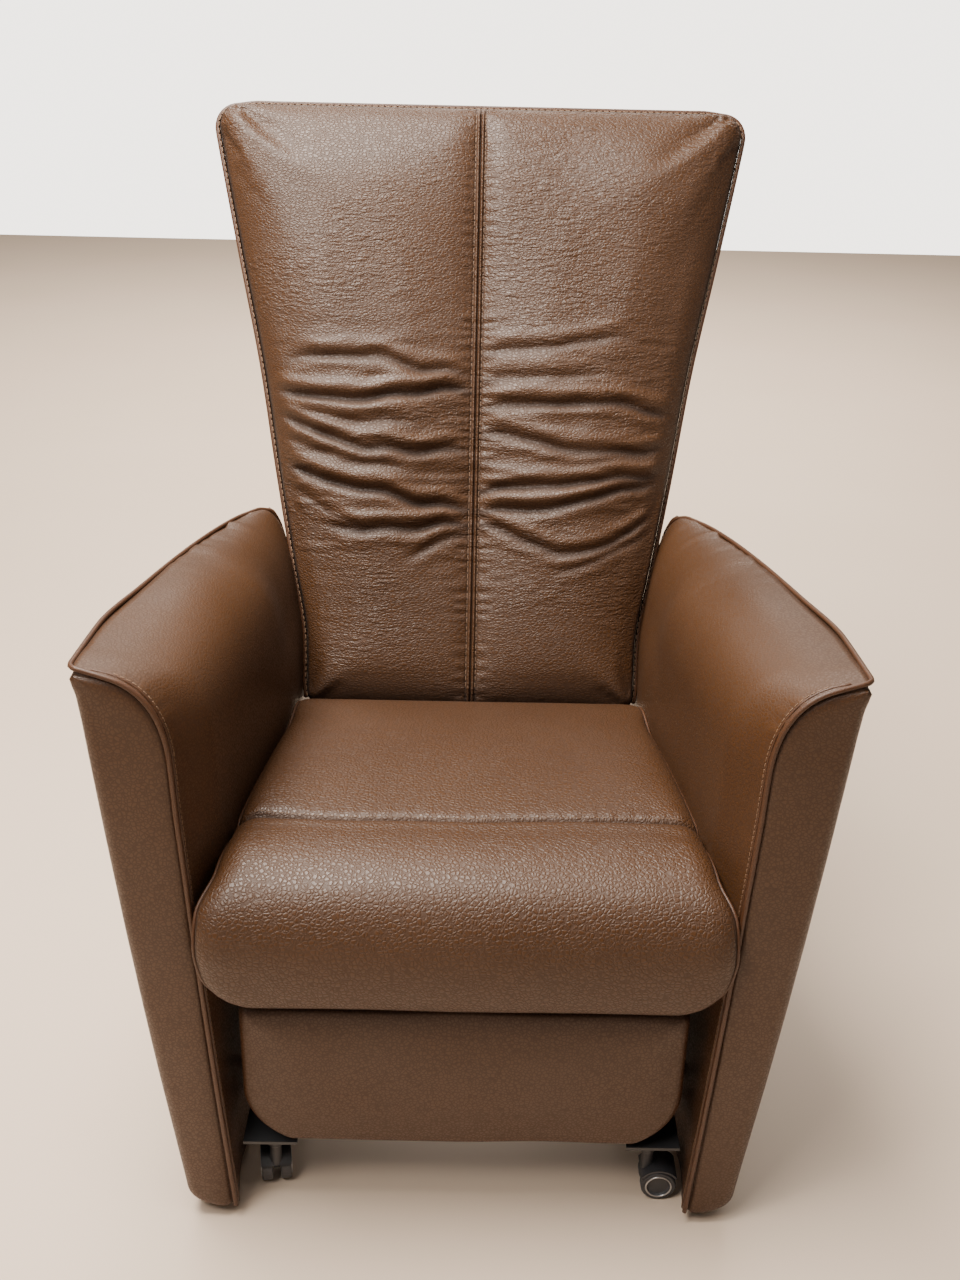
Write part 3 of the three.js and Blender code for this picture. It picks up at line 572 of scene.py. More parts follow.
# Each fold of the lumbar leather: side, depth in mm, then its height up the backrest at five places from the
# centre seam (near 0) to the side edge (near 1), and the two places where it fades out.
FOLD_AT = [0.06, 0.28, 0.50, 0.72, 0.95]
FOLDS = [
    (-1, 4.0, [0.421, 0.430, 0.445, 0.446, 0.436], 0.03, 0.88),
    (-1, 6.2, [0.403, 0.399, 0.389, 0.391, 0.399], 0.02, 1.00),
    (-1, 5.4, [0.322, 0.321, 0.323, 0.341, 0.367], 0.05, 1.00),
    (-1, 6.0, [0.244, 0.253, 0.267, 0.280, 0.302], 0.01, 1.00),
    (-1, 5.2, [0.225, 0.221, 0.216, 0.220, 0.235], 0.01, 0.82),
    (-1, 3.0, [0.211, 0.190, 0.165, 0.150, 0.140], 0.00, 0.40),
    (-1, 2.6, [0.360, 0.358, 0.357, 0.366, 0.384], 0.30, 0.98),
    (-1, 2.4, [0.285, 0.292, 0.302, 0.316, 0.338], 0.35, 1.00),
    (-1, 2.0, [0.200, 0.205, 0.215, 0.236, 0.272], 0.55, 1.00),
    (1, 3.2, [0.452, 0.458, 0.470, 0.474, 0.470], 0.03, 0.70),
    (1, 5.2, [0.380, 0.384, 0.388, 0.386, 0.377], 0.05, 1.00),
    (1, 4.6, [0.347, 0.336, 0.326, 0.323, 0.335], 0.04, 1.00),
    (1, 5.6, [0.270, 0.275, 0.282, 0.289, 0.300], 0.01, 1.00),
    (1, 5.2, [0.243, 0.244, 0.256, 0.270, 0.290], 0.01, 1.00),
    (1, 4.4, [0.226, 0.203, 0.190, 0.200, 0.246], 0.00, 1.00),
    (1, 2.6, [0.415, 0.420, 0.424, 0.428, 0.430], 0.02, 0.60),
    (1, 2.2, [0.305, 0.302, 0.305, 0.312, 0.322], 0.45, 1.00),
    (1, 2.4, [0.170, 0.165, 0.168, 0.185, 0.222], 0.45, 1.00),
]


def fold_field(u, s):
    """(height, crease) of the lumbar folds: valleys with a fuller roll of leather above each of them; crease is
    painted shade.
    """
    t = np.abs(u) / spline(*BACK_HALF, s)
    wander = 0.0022 * noise(np.column_stack([u, s * 0, s * 0]), 26)
    height, crease = np.zeros_like(u), np.zeros_like(u)
    for side, depth, heights, near, far in FOLDS:
        line = spline(FOLD_AT, heights, t) + wander
        strength = smooth(near - 0.06, near + 0.10, t) * (1 - smooth(far - 0.16, far + 0.02, t))
        strength = strength * (u * side > 0) * depth * 0.001
        d = s - line
        valley = peak(d / 0.0062, 1.5)
        roll = bell((d - 0.0145) / 0.0095) * 0.62 + bell((d + 0.0125) / 0.010) * 0.34
        height += strength * (roll - valley * 0.9)
        # painted shade along each valley
        crease += strength / 0.006 * peak((d + 0.002) / 0.0048, 1.6)
    return height, np.clip(crease, 0, 1)


SEAM_LIP, SEAM_STITCH = 0.0027, 0.0064  # distances from the centre seam's middle
SEAM_GROOVE, SEAM_DIMPLE = 0.0008, 0.0013  # widths
SEAM_COLUMNS = np.array([0.0, 0.0012, 0.0028, 0.0046, 0.0066, 0.0098, 0.017])
SIDE_COLUMNS = 30  # columns of the coarse lattice on each side of the seam


def seam_relief(u, s):
    """The centre seam: a narrow groove between two raised lips, a row of stitch dimples beside each."""
    a = np.abs(u)
    trough = -0.0050 * peak(a / 0.016, 1.4)
    lips = 0.0034 * bell((a - SEAM_LIP) / 0.0019)
    dimples = -0.0016 * bell((a - SEAM_STITCH) / SEAM_DIMPLE) * (0.7 + 0.3 * np.cos(2 * np.pi * s / PITCH))
    return trough + lips + dimples - 0.0018 * bell(a / SEAM_GROOVE)


def back_columns(column, half):
    """Column 0 is the centre seam and 1 the side edge; those beside the seam keep their distance from it."""
    inner = len(SEAM_COLUMNS) - 1
    k = np.abs(column) * SIDE_COLUMNS
    near = np.interp(k, np.arange(inner + 1), SEAM_COLUMNS)
    t = np.clip((k - inner) / (SIDE_COLUMNS - inner), 0, 1)
    far = SEAM_COLUMNS[-1] + (half - SEAM_COLUMNS[-1]) * np.sin(t * 1.3) / math.sin(1.3)
    return np.sign(column) * np.where(k <= inner, near, far)


def round_corner(a, b, radius):
    """Distance inside a rounded corner, from the distances to its two edges."""
    inside = radius - np.hypot(radius - a, radius - b)
    return np.where((a < radius) & (b < radius), inside, np.minimum(a, b))


def back_border(u, s):
    """Distance inside the backrest's outline."""
    side = spline(*BACK_HALF, s) - np.abs(u)
    upper = round_corner(side, BACK_TOP - s, BACK_ROUND)
    return np.minimum(upper, round_corner(side, s - BACK_BOTTOM, BACK_ROUND_LOW))


def back_shape(s, column):
    u = back_columns(column, back_half(s))
    border = back_border(u, s)
    w = BACK_EDGE * quarter(border, BACK_ROUND) - 0.005 * smooth(0, 0.12, border)
    w += 0.005 * (1 - smooth(0.0, 0.004, border))
    return back_point(u.ravel(), w.ravel(), s.ravel()).reshape(*u.shape, 3)


def back_sides(lattice):
    rows, columns = lattice.shape[:2]
    u, w, s = back_frame(lattice.reshape(-1, 3)[rim(rows, columns)])
    return [back_point(u, w + (BACK_REAR - w) * q, s) for q in (0.33, 0.67, 1.0)]


def back_detail(lattice, row, column):
    """Folds and gathered leather at the seams as heights off the swollen face, and their painted shade and
    highlights.
    """
    shape = lattice.shape[:2]
    u, w, s = (v.reshape(shape) for v in back_frame(lattice.reshape(-1, 3)))
    border, aside = back_border(u, s), np.abs(u)
    calm = smooth(0.004, 0.03, border)
    height, crease = (v.reshape(shape) for v in fold_field(u.ravel(), s.ravel()))

    def rough(x, y, scale):
        places = [np.broadcast_to(v, shape).ravel() for v in (x, y, 0)]
        return noise(np.column_stack(places), scale).reshape(shape)

    ripple = 0.0008 * rough(u * 0.5, s * 2.0, 60) * bell((s - 0.32) / 0.16)
    phase = 2 * np.pi * s / 0.0145 + 3 * rough(0, s, 30)
    pucker = 0.0008 * np.sin(phase) * bell((aside - 0.014) / 0.009)
    rays = np.sin(np.arctan2(s - 0.71, aside - 0.28) * 46)
    corner = smooth(0.66, 0.70, s) * smooth(0.24, 0.29, aside)
    gather = 0.0011 * rays * bell((border - 0.004) / 0.007) * corner
    sag = 0.0018 * rough(u, s, 9) * smooth(0.02, 0.06, border)
    lumbar = 0.005 * bell((s - 0.31) / 0.17) * smooth(0.02, 0.10, aside)
    out = (1.25 * height * smooth(0.006, 0.03, aside) + ripple + lumbar) * calm + pucker + gather + sag
    out += seam_relief(u, s) * smooth(0.0, 0.02, border)
    lattice = back_point(u.ravel(), (w - out).ravel(), s.ravel()).reshape(lattice.shape)
    # painted shade in the seam's groove and stitch dimples, along the border and towards the bottom; painted
    # highlights on the fold rolls and the seam's lips
    groove = 0.85 * bell(u / SEAM_GROOVE) + 0.75 * bell((aside - SEAM_STITCH) / SEAM_DIMPLE)
    edge = (1 - smooth(0.0018, 0.0065, border)) + 0.5 * (1 - smooth(0.0, 0.06, s - BACK_BOTTOM))
    painted_highlight = np.clip(height / 0.0035, 0, 1) * calm + 0.9 * bell((aside - SEAM_LIP) / 0.0014)
    return lattice, np.clip(crease * calm + groove + edge, 0, 1), np.clip(painted_highlight, 0, 1)


def back_cover():
    rows = np.concatenate([
        [BACK_BOTTOM, -0.0212, -0.0192, -0.016, -0.011, -0.004],
        np.linspace(0.005, 0.10, 10), np.linspace(0.1075, 0.50, 54), np.linspace(0.511, 0.735, 21),
        BACK_TOP - crowded(0.040, 0.12, 9),
    ])
    columns = np.arange(-SIDE_COLUMNS, SIDE_COLUMNS + 1) / SIDE_COLUMNS

    def sewn(s, column):
        return (back_border(back_columns(column, back_half(s)), s) < 0.004) | (np.abs(column) < 0.15)

    piece = cushion("back_cover", back_shape, rows, columns, back_sides, sewn, back_detail, LEATHER_BACK,
                    cap=0.014)
    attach(piece, "backrest")
    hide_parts("back_cushion")
    outline = back_outline(0.0030, BACK_EDGE + 0.0035)
    piping("back_piping_front", outline, LEATHER_EDGE, "backrest", 0.0032)
    stitches("back_edge_stitches", back_outline(0.0012, BACK_EDGE + 0.0002), "backrest", radius=0.0008)
    tree = surface_tree(piece)
    way = Vector((0, math.cos(RECLINE), -math.sin(RECLINE)))
    for side, sign in (("left", -1), ("right", 1)):
        row = []
        for s in np.linspace(-0.002, BACK_TOP - 0.012, 180):
            start = Vector(back_point(sign * SEAM_STITCH, -0.08, s)[0] + [0, SHIFT, 0])
            hit = tree.ray_cast(start, way)[0]
            row.append(np.array(hit - way * 0.0002) - [0, SHIFT, 0])
        stitches(f"back_seam_stitches_{side}", row, "backrest", radius=0.0005)


def back_outline(outset, depth, low=-0.012):
    """The closed-topped outline of the backrest from its lower left to its lower right."""
    s = np.concatenate([np.linspace(low, BACK_TOP - 0.04, 40), BACK_TOP - crowded(BACK_ROUND, 0.1, 9)])
    half = back_half(s) + outset
    left = back_point(-half, depth, s)
    across = back_point(np.linspace(-half[-1], half[-1], 30)[1:-1], depth, BACK_TOP + outset)
    return np.vstack([left, across, back_point(half, depth, s)[::-1]])


def shell_sides(lattice):
    """The side band, from the rear panel's edge forward to the cushion's seam."""
    rows, columns = lattice.shape[:2]
    u, w, s = back_frame(lattice.reshape(-1, 3)[rim(rows, columns)])
    rings = []
    for q in (0.3, 0.65, 1.0):
        bulge = 1 + 0.004 * math.sin(q * math.pi)
        rings.append(back_point(u * bulge, w + (0.0490 - w) * q, s))
    return rings


def back_shell():
    """The leather shell behind the cushion: a side band and a slightly domed rear panel."""
    low = SHELL_BOTTOM + 0.02 * (1 - np.cos(np.linspace(0, 1, 9) * np.pi / 2))
    s = np.concatenate([low, np.linspace(0.012, 0.73, 100), BACK_TOP - crowded(0.045, 0.1, 14)])
    s, p = np.meshgrid(s, spread(np.linspace(-1, 1, 90), 1.4), indexing="ij")
    half = back_half(s, bottom=SHELL_BOTTOM)
    u = p * half
    border = np.minimum.reduce([(1 - np.abs(p)) * half, BACK_TOP - s, s - SHELL_BOTTOM])
    w = 0.087 - 0.010 * quarter(border, 0.014) + 0.004 * smooth(0.01, 0.16, border)
    uneven = noise(np.column_stack([u.ravel(), s.ravel(), 0 * u.ravel()]), 8).reshape(u.shape)
    w += 0.0012 * uneven * smooth(0, 0.05, border)
    lattice = back_point(u.ravel(), w.ravel(), s.ravel()).reshape(*u.shape, 3)
    verts, faces = closed(lattice, shell_sides(lattice), flip=True)
    plain = np.zeros(len(verts))
    piece = add_mesh("back_rear_shell", verts, faces, LEATHER, "backrest", {"painted_shade": plain, "painted_highlight": plain})
    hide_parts("back_shell")
    piping("back_piping_rear", back_outline(-0.0005, 0.0800), LEATHER_EDGE, "backrest", 0.0026)
    stitches("back_rear_stitches", back_outline(-0.0085, 0.0872), "backrest")


# ---- arms ----
TOP_EDGE = np.array([[-0.380, -0.250, -0.120, 0.040, 0.165, 0.215, 0.240],
                     [0.384, 0.386, 0.370, 0.345, 0.315, 0.292, 0.276]])
FRONT_EDGE = np.array([[0.018, 0.177, 0.317, 0.448, 0.568, 0.620, 0.700],
                       [0.2585, 0.2695, 0.278, 0.285, 0.291, 0.292, 0.292]])


def seat_half(y):
    return 0.255 - 0.0943 * (y + 0.260)


def top_outer(y):
    return spline(TOP_EDGE[0], TOP_EDGE[1], y)


def top_height(y):
    return 0.711 - 0.098 * (y - ARM_FRONT)


def arm_outer(y, z):
    taper = 0.1 - 0.05 * (y - ARM_FRONT) / (ARM_REAR - ARM_FRONT)
    belly = 0.004 * np.sin(np.clip((z - 0.05) / 0.6, 0, 1) * np.pi)
    return top_outer(y) - taper * (top_height(y) - z) + belly


def arm_inner(y, z):
    wall = np.maximum(seat_half(np.minimum(y, 0.1)) + 0.0045, 0.2265)
    front = np.interp(z, *FRONT_EDGE)
    lower = front + (wall - front) * smooth(ARM_FRONT, -0.30, y)
    r = np.hypot(y - PIVOT[0], np.maximum(0, z - PIVOT[1])) - 0.0626
    swept = spline(*BACK_HALF, r) + 0.0045
    return lower + (np.maximum(lower, swept) - lower) * smooth(-0.02, 0.09, y)


FOOT, FOOT_POINTS = 0.018, 9  # radius of the arm's lower outer edge, and the points round it
LEVER = (-0.21, 0.44)  # y and z of the middle of the release lever's swing on the left arm
INNER, OVER, OUTER = 40, 24, 44  # points up the inner wall, over the top, and up the outer wall
PANEL_LEAST = 0.012  # the front panel ends where the arm's section gets narrower than this
PANEL_WRAP = [(0.0006, 0.026), (0.0002, 0.034), (-0.003, 0.044)]  # past its outer edge, behind the arm's front


def thickness(y, z):
    return np.maximum(arm_outer(y, z) - arm_inner(y, z), 0.01)


def arm_chains(y, inset_in=0.0, inset_out=0.0):
    """The right arm's section at y: a chain up the inside and over the top, and a chain up the outside."""
    top = top_height(y)
    shoulder = top - 0.111
    z = np.linspace(ARM_BOTTOM, shoulder, INNER)
    wall = np.column_stack([arm_inner(y, z), z])
    a, c = np.array([wall[-1, 0], shoulder]), np.array([top_outer(y), top])
    b = np.array([arm_inner(y, top - 0.02), top - 0.005])
    t = np.linspace(0, 1, OVER + 1)[1:, None]
    over = a * (1 - t) ** 2 + 2 * b * t * (1 - t) + c * t * t
    over[:, 1] += 0.0035 * np.sin(t[:, 0] * np.pi)
    inner = np.vstack([wall, over])
    foot = min(FOOT, 0.35 * thickness(y, np.array([ARM_BOTTOM]))[0])
    turn = np.linspace(0, 1, FOOT_POINTS) * np.pi / 2
    upper = np.linspace(ARM_BOTTOM + foot + 0.012, top, OUTER - FOOT_POINTS)
    z = np.concatenate([ARM_BOTTOM + foot * (1 - np.cos(turn)), upper])
    x = arm_outer(y, z)
    x[:FOOT_POINTS] -= foot * (1 - np.sin(turn))
    outer = np.column_stack([x, z])
    inner = shrink(inner, np.minimum(inset_in, 0.3 * thickness(y, inner[:, 1])))
    outer = shrink(outer, np.minimum(inset_out, 0.3 * thickness(y, outer[:, 1])))
    corner = (inner[-1] + outer[-1]) / 2
    inner[-1] = outer[-1] = corner
    return inner, outer


def shrink(chain, inset):
    """Moves a chain of the arm's section towards the section's middle."""
    way = np.gradient(chain, axis=0)
    way /= np.linalg.norm(way, axis=1)[:, None]
    normal = np.column_stack([-way[:, 1], way[:, 0]])
    normal *= np.sign(np.sum(([0.315, 0.45] - chain) * normal, axis=1))[:, None]
    moved = chain + normal * inset[:, None]
    moved[:, 1] = np.maximum(moved[:, 1], ARM_BOTTOM)
    return moved


def mirror(points, sign):
    return np.asarray(points) * [sign, 1, 1]


def place_chain(chain, y, sign):
    """A chain of the section as points in space, on the side of the chair that sign gives."""
    return mirror(np.column_stack([chain[:, 0], np.full(len(chain), y), chain[:, 1]]), sign)


def arm_rings():
    """The arm's cover as sections from its front to its rear end."""
    front = np.array([0.0008, 0.003, 0.0065, 0.011, 0.016, 0.024, 0.032, 0.040]) + ARM_FRONT
    rings = []
    for y in [*front, *np.linspace(-0.33, 0.215, 110), *(ARM_REAR - crowded(ARM_ROUND, 0.1, 8))]:
        d = y - ARM_FRONT
        bend, end = ARM_CORNER * quarter(d, ARM_CORNER), ARM_ROUND * quarter(ARM_REAR - y, ARM_ROUND)
        under = 0.0022 * (1 - float(smooth(0.030, 0.046, d)))
        lip = 0.0030 * math.exp(-d / 0.0016) if d < 0.02 else 0.0
        inner, outer = arm_chains(y, lip + end, bend + under + end)
        rings.append(place_chain(np.vstack([inner, outer[-2::-1]]), y, 1))
    return rings


def arm_cover(side, sign):
    rings = arm_rings()
    verts, size = np.vstack(rings), len(rings[0])
    faces = grid_faces(len(rings), size, flip=sign > 0, wrap=True)
    for start, turn in ((0, sign < 0), ((len(rings) - 1) * size, sign > 0)):
        for ladder in end_ladder(size):
            face = [start + k for k in ladder]
            faces.append(face[::-1] if turn else face)
    x, y, z = verts.T
    chain = np.tile(np.arange(size), len(rings))
    inside = chain < INNER + OVER
    over = np.clip((chain - INNER) / OVER, 0, 1) * inside
    behind = y - ARM_FRONT
    pucker = 0.0011 * np.sin(chain * 2.1 + 2 * noise(verts, 60)) * bell((over - 0.33) / 0.3) * inside
    pucker = pucker * bell((behind - 0.014) / 0.014)
    creases = 0.0010 * noise(np.column_stack([x * 0.25, y, z * 0]), 75)
    creases = creases * smooth(0.1, 0.9, over) * smooth(-0.12, 0.08, y)
    uneven = 0.0014 * noise(verts, 10) * smooth(0.01, 0.06, behind) * smooth(0, 0.03, ARM_REAR - y)
    out = pucker + creases + uneven
    lift = smooth(0.0, 0.8, over)
    swing = bell((y - LEVER[0]) / 0.12) * bell((z - LEVER[1]) / 0.13) * (sign < 0)
    verts[:, 0] += np.where(inside, lift - 1, 1.0) * out - (1 - inside) * (0.0012 + 0.0045 * swing)
    verts[:, 2] += lift * out
    # painted shade along the front edge of the inner wall and top, and along the bottom; painted highlights on the
    # puckers and along the top
    painted_shade = 0.7 * (1 - smooth(0.0, 0.004, behind)) * inside + 0.3 * (1 - smooth(0.018, 0.05, z))
    ridge = 0.5 * bell((over - 0.45) / 0.3) * smooth(0.0, 0.04, behind) * inside
    painted_highlight = np.clip(pucker / 0.0008, 0, 1) + ridge
    attributes = {"painted_shade": np.clip(painted_shade, 0, 1), "painted_highlight": np.clip(painted_highlight, 0, 1)}
    piece = add_mesh(f"arm_cover_{side}", mirror(verts, sign), faces, LEATHER, "base", attributes)
    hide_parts(f"arm_pad_{side}")


def end_ladder(size):
    """Faces that close an end of the arm, each between its inner and its outer chain."""
    inner, outer = INNER + OVER, OUTER
    for i in range(outer - 1):
        a, b = int(i * (inner - 1) / (outer - 1)), int((i + 1) * (inner - 1) / (outer - 1))
        ladder = [*range(a, b + 1), size - 2 - i if i < outer - 2 else b, size - 1 - i]
        yield [v for n, v in enumerate(ladder) if v != ladder[n - 1]]


def along(chain, count):
    """Points at even distances along a chain, and those distances."""
    run = distances(chain)
    at = np.linspace(0, run[-1], count)
    return read_off(at, run, chain), at


def panel_section(width, bend, distance):
    """The front panel from its inner to its outer edge: places across it, each with its y."""
    r, first = min(ARM_CORNER, 0.40 * width), min(0.0052, 0.3 * width)
    pleat = 0.0011 * math.sin(distance * 2 * math.pi / 0.0105) * bend
    steps = []
    for q in (0, 0.04, 0.09, 0.15, 0.22, 0.3, 0.4, 0.5, 0.6, 0.7, 0.8, 0.9, 1.0):
        past = (width - r - first) * q
        rise = 0.0046 * (1 - math.exp(-past / 0.004)) + 0.0014 * math.sin(q * math.pi)
        pucker = pleat * math.exp(-past / 0.016) * (q > 0)
        steps.append((first + past, ARM_FRONT + 0.0025 - rise - pucker))
    level = steps[-1][1]
    for turn in np.linspace(0, np.pi / 2, 9)[1:]:
        steps.append((width - r + (r + 0.0006) * math.sin(turn), level + r * (1 - math.cos(turn))))
    return steps + [(width + out, ARM_FRONT + behind) for out, behind in PANEL_WRAP]


def arm_panel(side, sign):
    """The front panel: it starts behind the seam's piping, domes forward and wraps round the outer edge."""
    inner, outer = arm_chains(ARM_FRONT + 0.016)
    a, run = along(inner, 150)
    b, _ = along(outer, 150)
    lattice = []
    for start, end, distance in zip(a, b, run):
        width = float(np.linalg.norm(end - start))
        if width < PANEL_LEAST:
            break
        bend = float(bell((start[1] - top_height(ARM_FRONT) + 0.055) / 0.05))
        way = (end - start) / width
        lattice.append([[*(start + way * off), y] for off, y in panel_section(width, bend, distance)])
    lattice = np.array(lattice)[:, :, [0, 2, 1]]
    rows, columns = lattice.shape[:2]
    lattice[:, 2:, 1] -= 0.0007 * noise(lattice.reshape(-1, 3), 20).reshape(rows, columns)[:, 2:]
    lattice = mirror(lattice, sign)
    count, loop = rows * columns, rim(rows, columns)
    deep = (lattice - sign * lattice_normals(lattice) * 0.0025).reshape(-1, 3)
    faces = grid_faces(rows, columns, flip=sign < 0)
    faces += grid_faces(rows, columns, flip=sign > 0, offset=count)
    for v, w in zip(loop, np.roll(loop, -1)):
        quad = [w, v, v + count, w + count]
        faces.append(quad if sign > 0 else quad[::-1])
    # painted shade on the two columns beside the seam's piping
    painted_shade = np.tile([0.9, 0.45] + [0.0] * (columns - 2), 2 * rows)
    verts = np.vstack([lattice.reshape(-1, 3), deep])
    attributes = {"painted_shade": painted_shade, "painted_highlight": painted_shade * 0}
    panel = add_mesh(f"arm_front_panel_{side}", verts, faces, LEATHER, "base", attributes)


def arm_trim(side, sign):
    """Piping round the front seam, along the top's outer edge and down the rear; stitches behind the seam."""
    inner, _ = arm_chains(ARM_FRONT, 0.0022, 0.0022)
    seam = place_chain(inner[:-4], ARM_FRONT - 0.0012, sign)
    middle = np.linspace(ARM_CORNER, 0.593, 36)
    behind = np.concatenate([[0.002, 0.004, 0.007, 0.011], middle, [0.60, 0.607, 0.613]])
    y = ARM_FRONT + behind
    bend, end = ARM_CORNER * quarter(behind, ARM_CORNER), ARM_ROUND * quarter(ARM_REAR - y, ARM_ROUND)
    x = sign * (top_outer(y) + 0.0004 - end - bend)
    edge = np.column_stack([x, y, top_height(y) + 0.0004 - end])
    rear, _ = arm_chains(ARM_REAR - 0.003, 0.010, 0.010)
    rear = place_chain(rear[-11:8:-3], ARM_REAR - 0.0035, sign)
    piping(f"arm_piping_{side}", np.vstack([seam[::3], edge, rear]), LEATHER_EDGE, "base", PIPING)
    inner, _ = arm_chains(ARM_FRONT + 0.005, 0.0003)
    roll = place_chain(inner[:-3], ARM_FRONT + 0.0052, sign)[::3]
    piping(f"arm_seam_roll_{side}", roll, LEATHER_EDGE, "base", 0.0015)
    inner, _ = arm_chains(ARM_FRONT + 0.009, -0.0003)
    row = place_chain(inner[:-4], ARM_FRONT + 0.0088, sign)[::3]
    stitches(f"arm_stitches_{side}", row, "base", 0.0066, 0.0044, 0.0005)


def arm(side, sign):
    arm_cover(side, sign)
    arm_panel(side, sign)
    arm_trim(side, sign)


# ---- seat ----
SEAT_LINE = np.array([  # y, z of the seat's middle, from its rear edge over the roll to its lower front edge
    (0.0915, 0.418), (0.087, 0.433), (0.075, 0.443), (0.040, 0.4515), (-0.030, 0.4615), (-0.110, 0.4705),
    (-0.190, 0.4765), (-0.238, 0.4765), (-0.2615, 0.473), (-0.285, 0.4775), (-0.318, 0.4795), (-0.350, 0.473),
    (-0.382, 0.456), (-0.402, 0.431), (-0.411, 0.402), (-0.411, 0.370), (-0.409, 0.344), (-0.403, 0.327),
    (-0.390, 0.3205),
])
SEAT_ROWS = 96


def seat_line():
    """The seat's middle line at even distances, one point for each row of the coarse lattice."""
    path = resample(np.column_stack([SEAT_LINE, np.zeros(len(SEAT_LINE))]), 0.002)
    return read_off(np.linspace(0, 1, SEAT_ROWS), np.linspace(0, 1, len(path)), path[:, :2])


LINE = seat_line()
LINE_OUT = np.column_stack([np.gradient(LINE[:, 1]), -np.gradient(LINE[:, 0])])
LINE_OUT /= np.linalg.norm(LINE_OUT, axis=1)[:, None]
LINE_Y, LINE_Z, OUT_Y, OUT_Z = *LINE.T, *LINE_OUT.T
SEAT_FRONT = np.array([[0.319, 0.326, 0.340, 0.365, 0.395, 0.440, 0.480],
                       [0.244, 0.254, 0.266, 0.277, 0.281, 0.279, 0.262]])  # the front's half-width by height
SEAT_SPREAD = 1.25


def seat_width(y, z):
    """Half-width of the seat at a point of its profile."""
    flat = seat_half(np.maximum(y, -0.335)) + 0.0015 - 0.002 * smooth(0.060, 0.092, y) ** 2
    return flat + (spline(*SEAT_FRONT, z) - flat) * smooth(0.315, 0.380, -y)


def on_line(row, table):
    return np.interp(row, np.arange(SEAT_ROWS), table)


def seat_shape(row, column):
    y, z = on_line(row, LINE_Y), on_line(row, LINE_Z)
    p = spread(column, SEAT_SPREAD)
    half = seat_width(y, z)
    depth = 0.024 * (1 - 0.35 * smooth(0.33, 0.40, -y)) * (1 - 0.75 * smooth(0.0, 0.07, y))
    drop = depth * quarter((1 - np.abs(p)) * half, 0.032)
    return np.stack([p * half, y - on_line(row, OUT_Y) * drop, z - on_line(row, OUT_Z) * drop], axis=-1)


def seat_sides(lattice):
    """From the cover's border down its sides to the flat underside and the roll's lower edge."""
    rows, columns = lattice.shape[:2]
    loop = rim(rows, columns)
    border = lattice.reshape(-1, 3)[loop]
    run = (loop // columns) / (rows - 1)
    p = spread((loop % columns) / (columns - 1) * 2 - 1, SEAT_SPREAD)
    low_y = 0.0885 - 0.474 * run
    low_z = 0.3425 - 0.0200 * smooth(0.332, 0.342, -low_y)
    half = seat_half(np.maximum(low_y, -0.335)) - 0.008 - 0.012 * smooth(0.345, 0.385, -low_y)
    under = np.column_stack([p * half, low_y, low_z])
    rings = []
    for q in np.linspace(0, 1, 8)[1:]:
        ring = border * (1 - q) + under * q
        ring[:, 0] *= 1 + 0.018 * math.sin(q * math.pi)
        rings.append(ring)
    return rings


def crease_line(x):
    return CREASE_Y + 0.005 * (x / 0.25) ** 2 + 0.0010 * noise(np.column_stack([x, x * 0, x * 0]), 14)


def seat_detail(lattice, row, column):
    shape = lattice.shape[:2]
    flat = lattice.reshape(-1, 3)
    x, y, z = flat.T
    out = np.column_stack([np.zeros(len(flat)), on_line(row, OUT_Y).ravel(), on_line(row, OUT_Z).ravel()])
    border = seat_width(on_line(row, LINE_Y), on_line(row, LINE_Z)).ravel() - np.abs(x)
    d = y - crease_line(x)
    on_top = (z > 0.44) * 1.0
    crease = -0.0100 * peak(d / 0.0046, 1.2) + 0.0030 * bell((d + 0.015) / 0.010)
    ripple = 0.0004 * np.sin(x * 2 * np.pi / 0.019 + 2 * noise(flat, 25)) * bell((d - 0.013) / 0.010)
    corner = 0.0010 * noise(np.column_stack([x * 0.6, y * 2, z * 0]), 42)
    corner = corner * bell((d + 0.005) / 0.04) * smooth(0.16, 0.23, np.abs(x))
    uneven = 0.0016 * noise(flat, 8) * smooth(0.002, 0.03, border)
    height = (crease + ripple + corner) * on_top + uneven
    # painted shade in the crease, under the roll's lower edge, along the side seams and at the rear; painted
    # highlights on the roll's top and just behind the crease
    painted_shade = peak(d / 0.0034, 1.5) * on_top + 0.6 * (1 - smooth(0.320, 0.334, z)) * (y < -0.3)
    painted_shade = painted_shade + 0.8 * (1 - smooth(0.001, 0.004, border)) + 0.5 * smooth(0.070, 0.092, y)
    painted_highlight = 0.6 * bell((z - 0.470) / 0.014) * smooth(0.30, 0.34, -y) + 0.1 * bell((d - 0.008) / 0.004) * on_top
    lattice = (flat + out * height[:, None]).reshape(lattice.shape)
    return lattice, np.clip(painted_shade, 0, 1).reshape(shape), painted_highlight.reshape(shape)


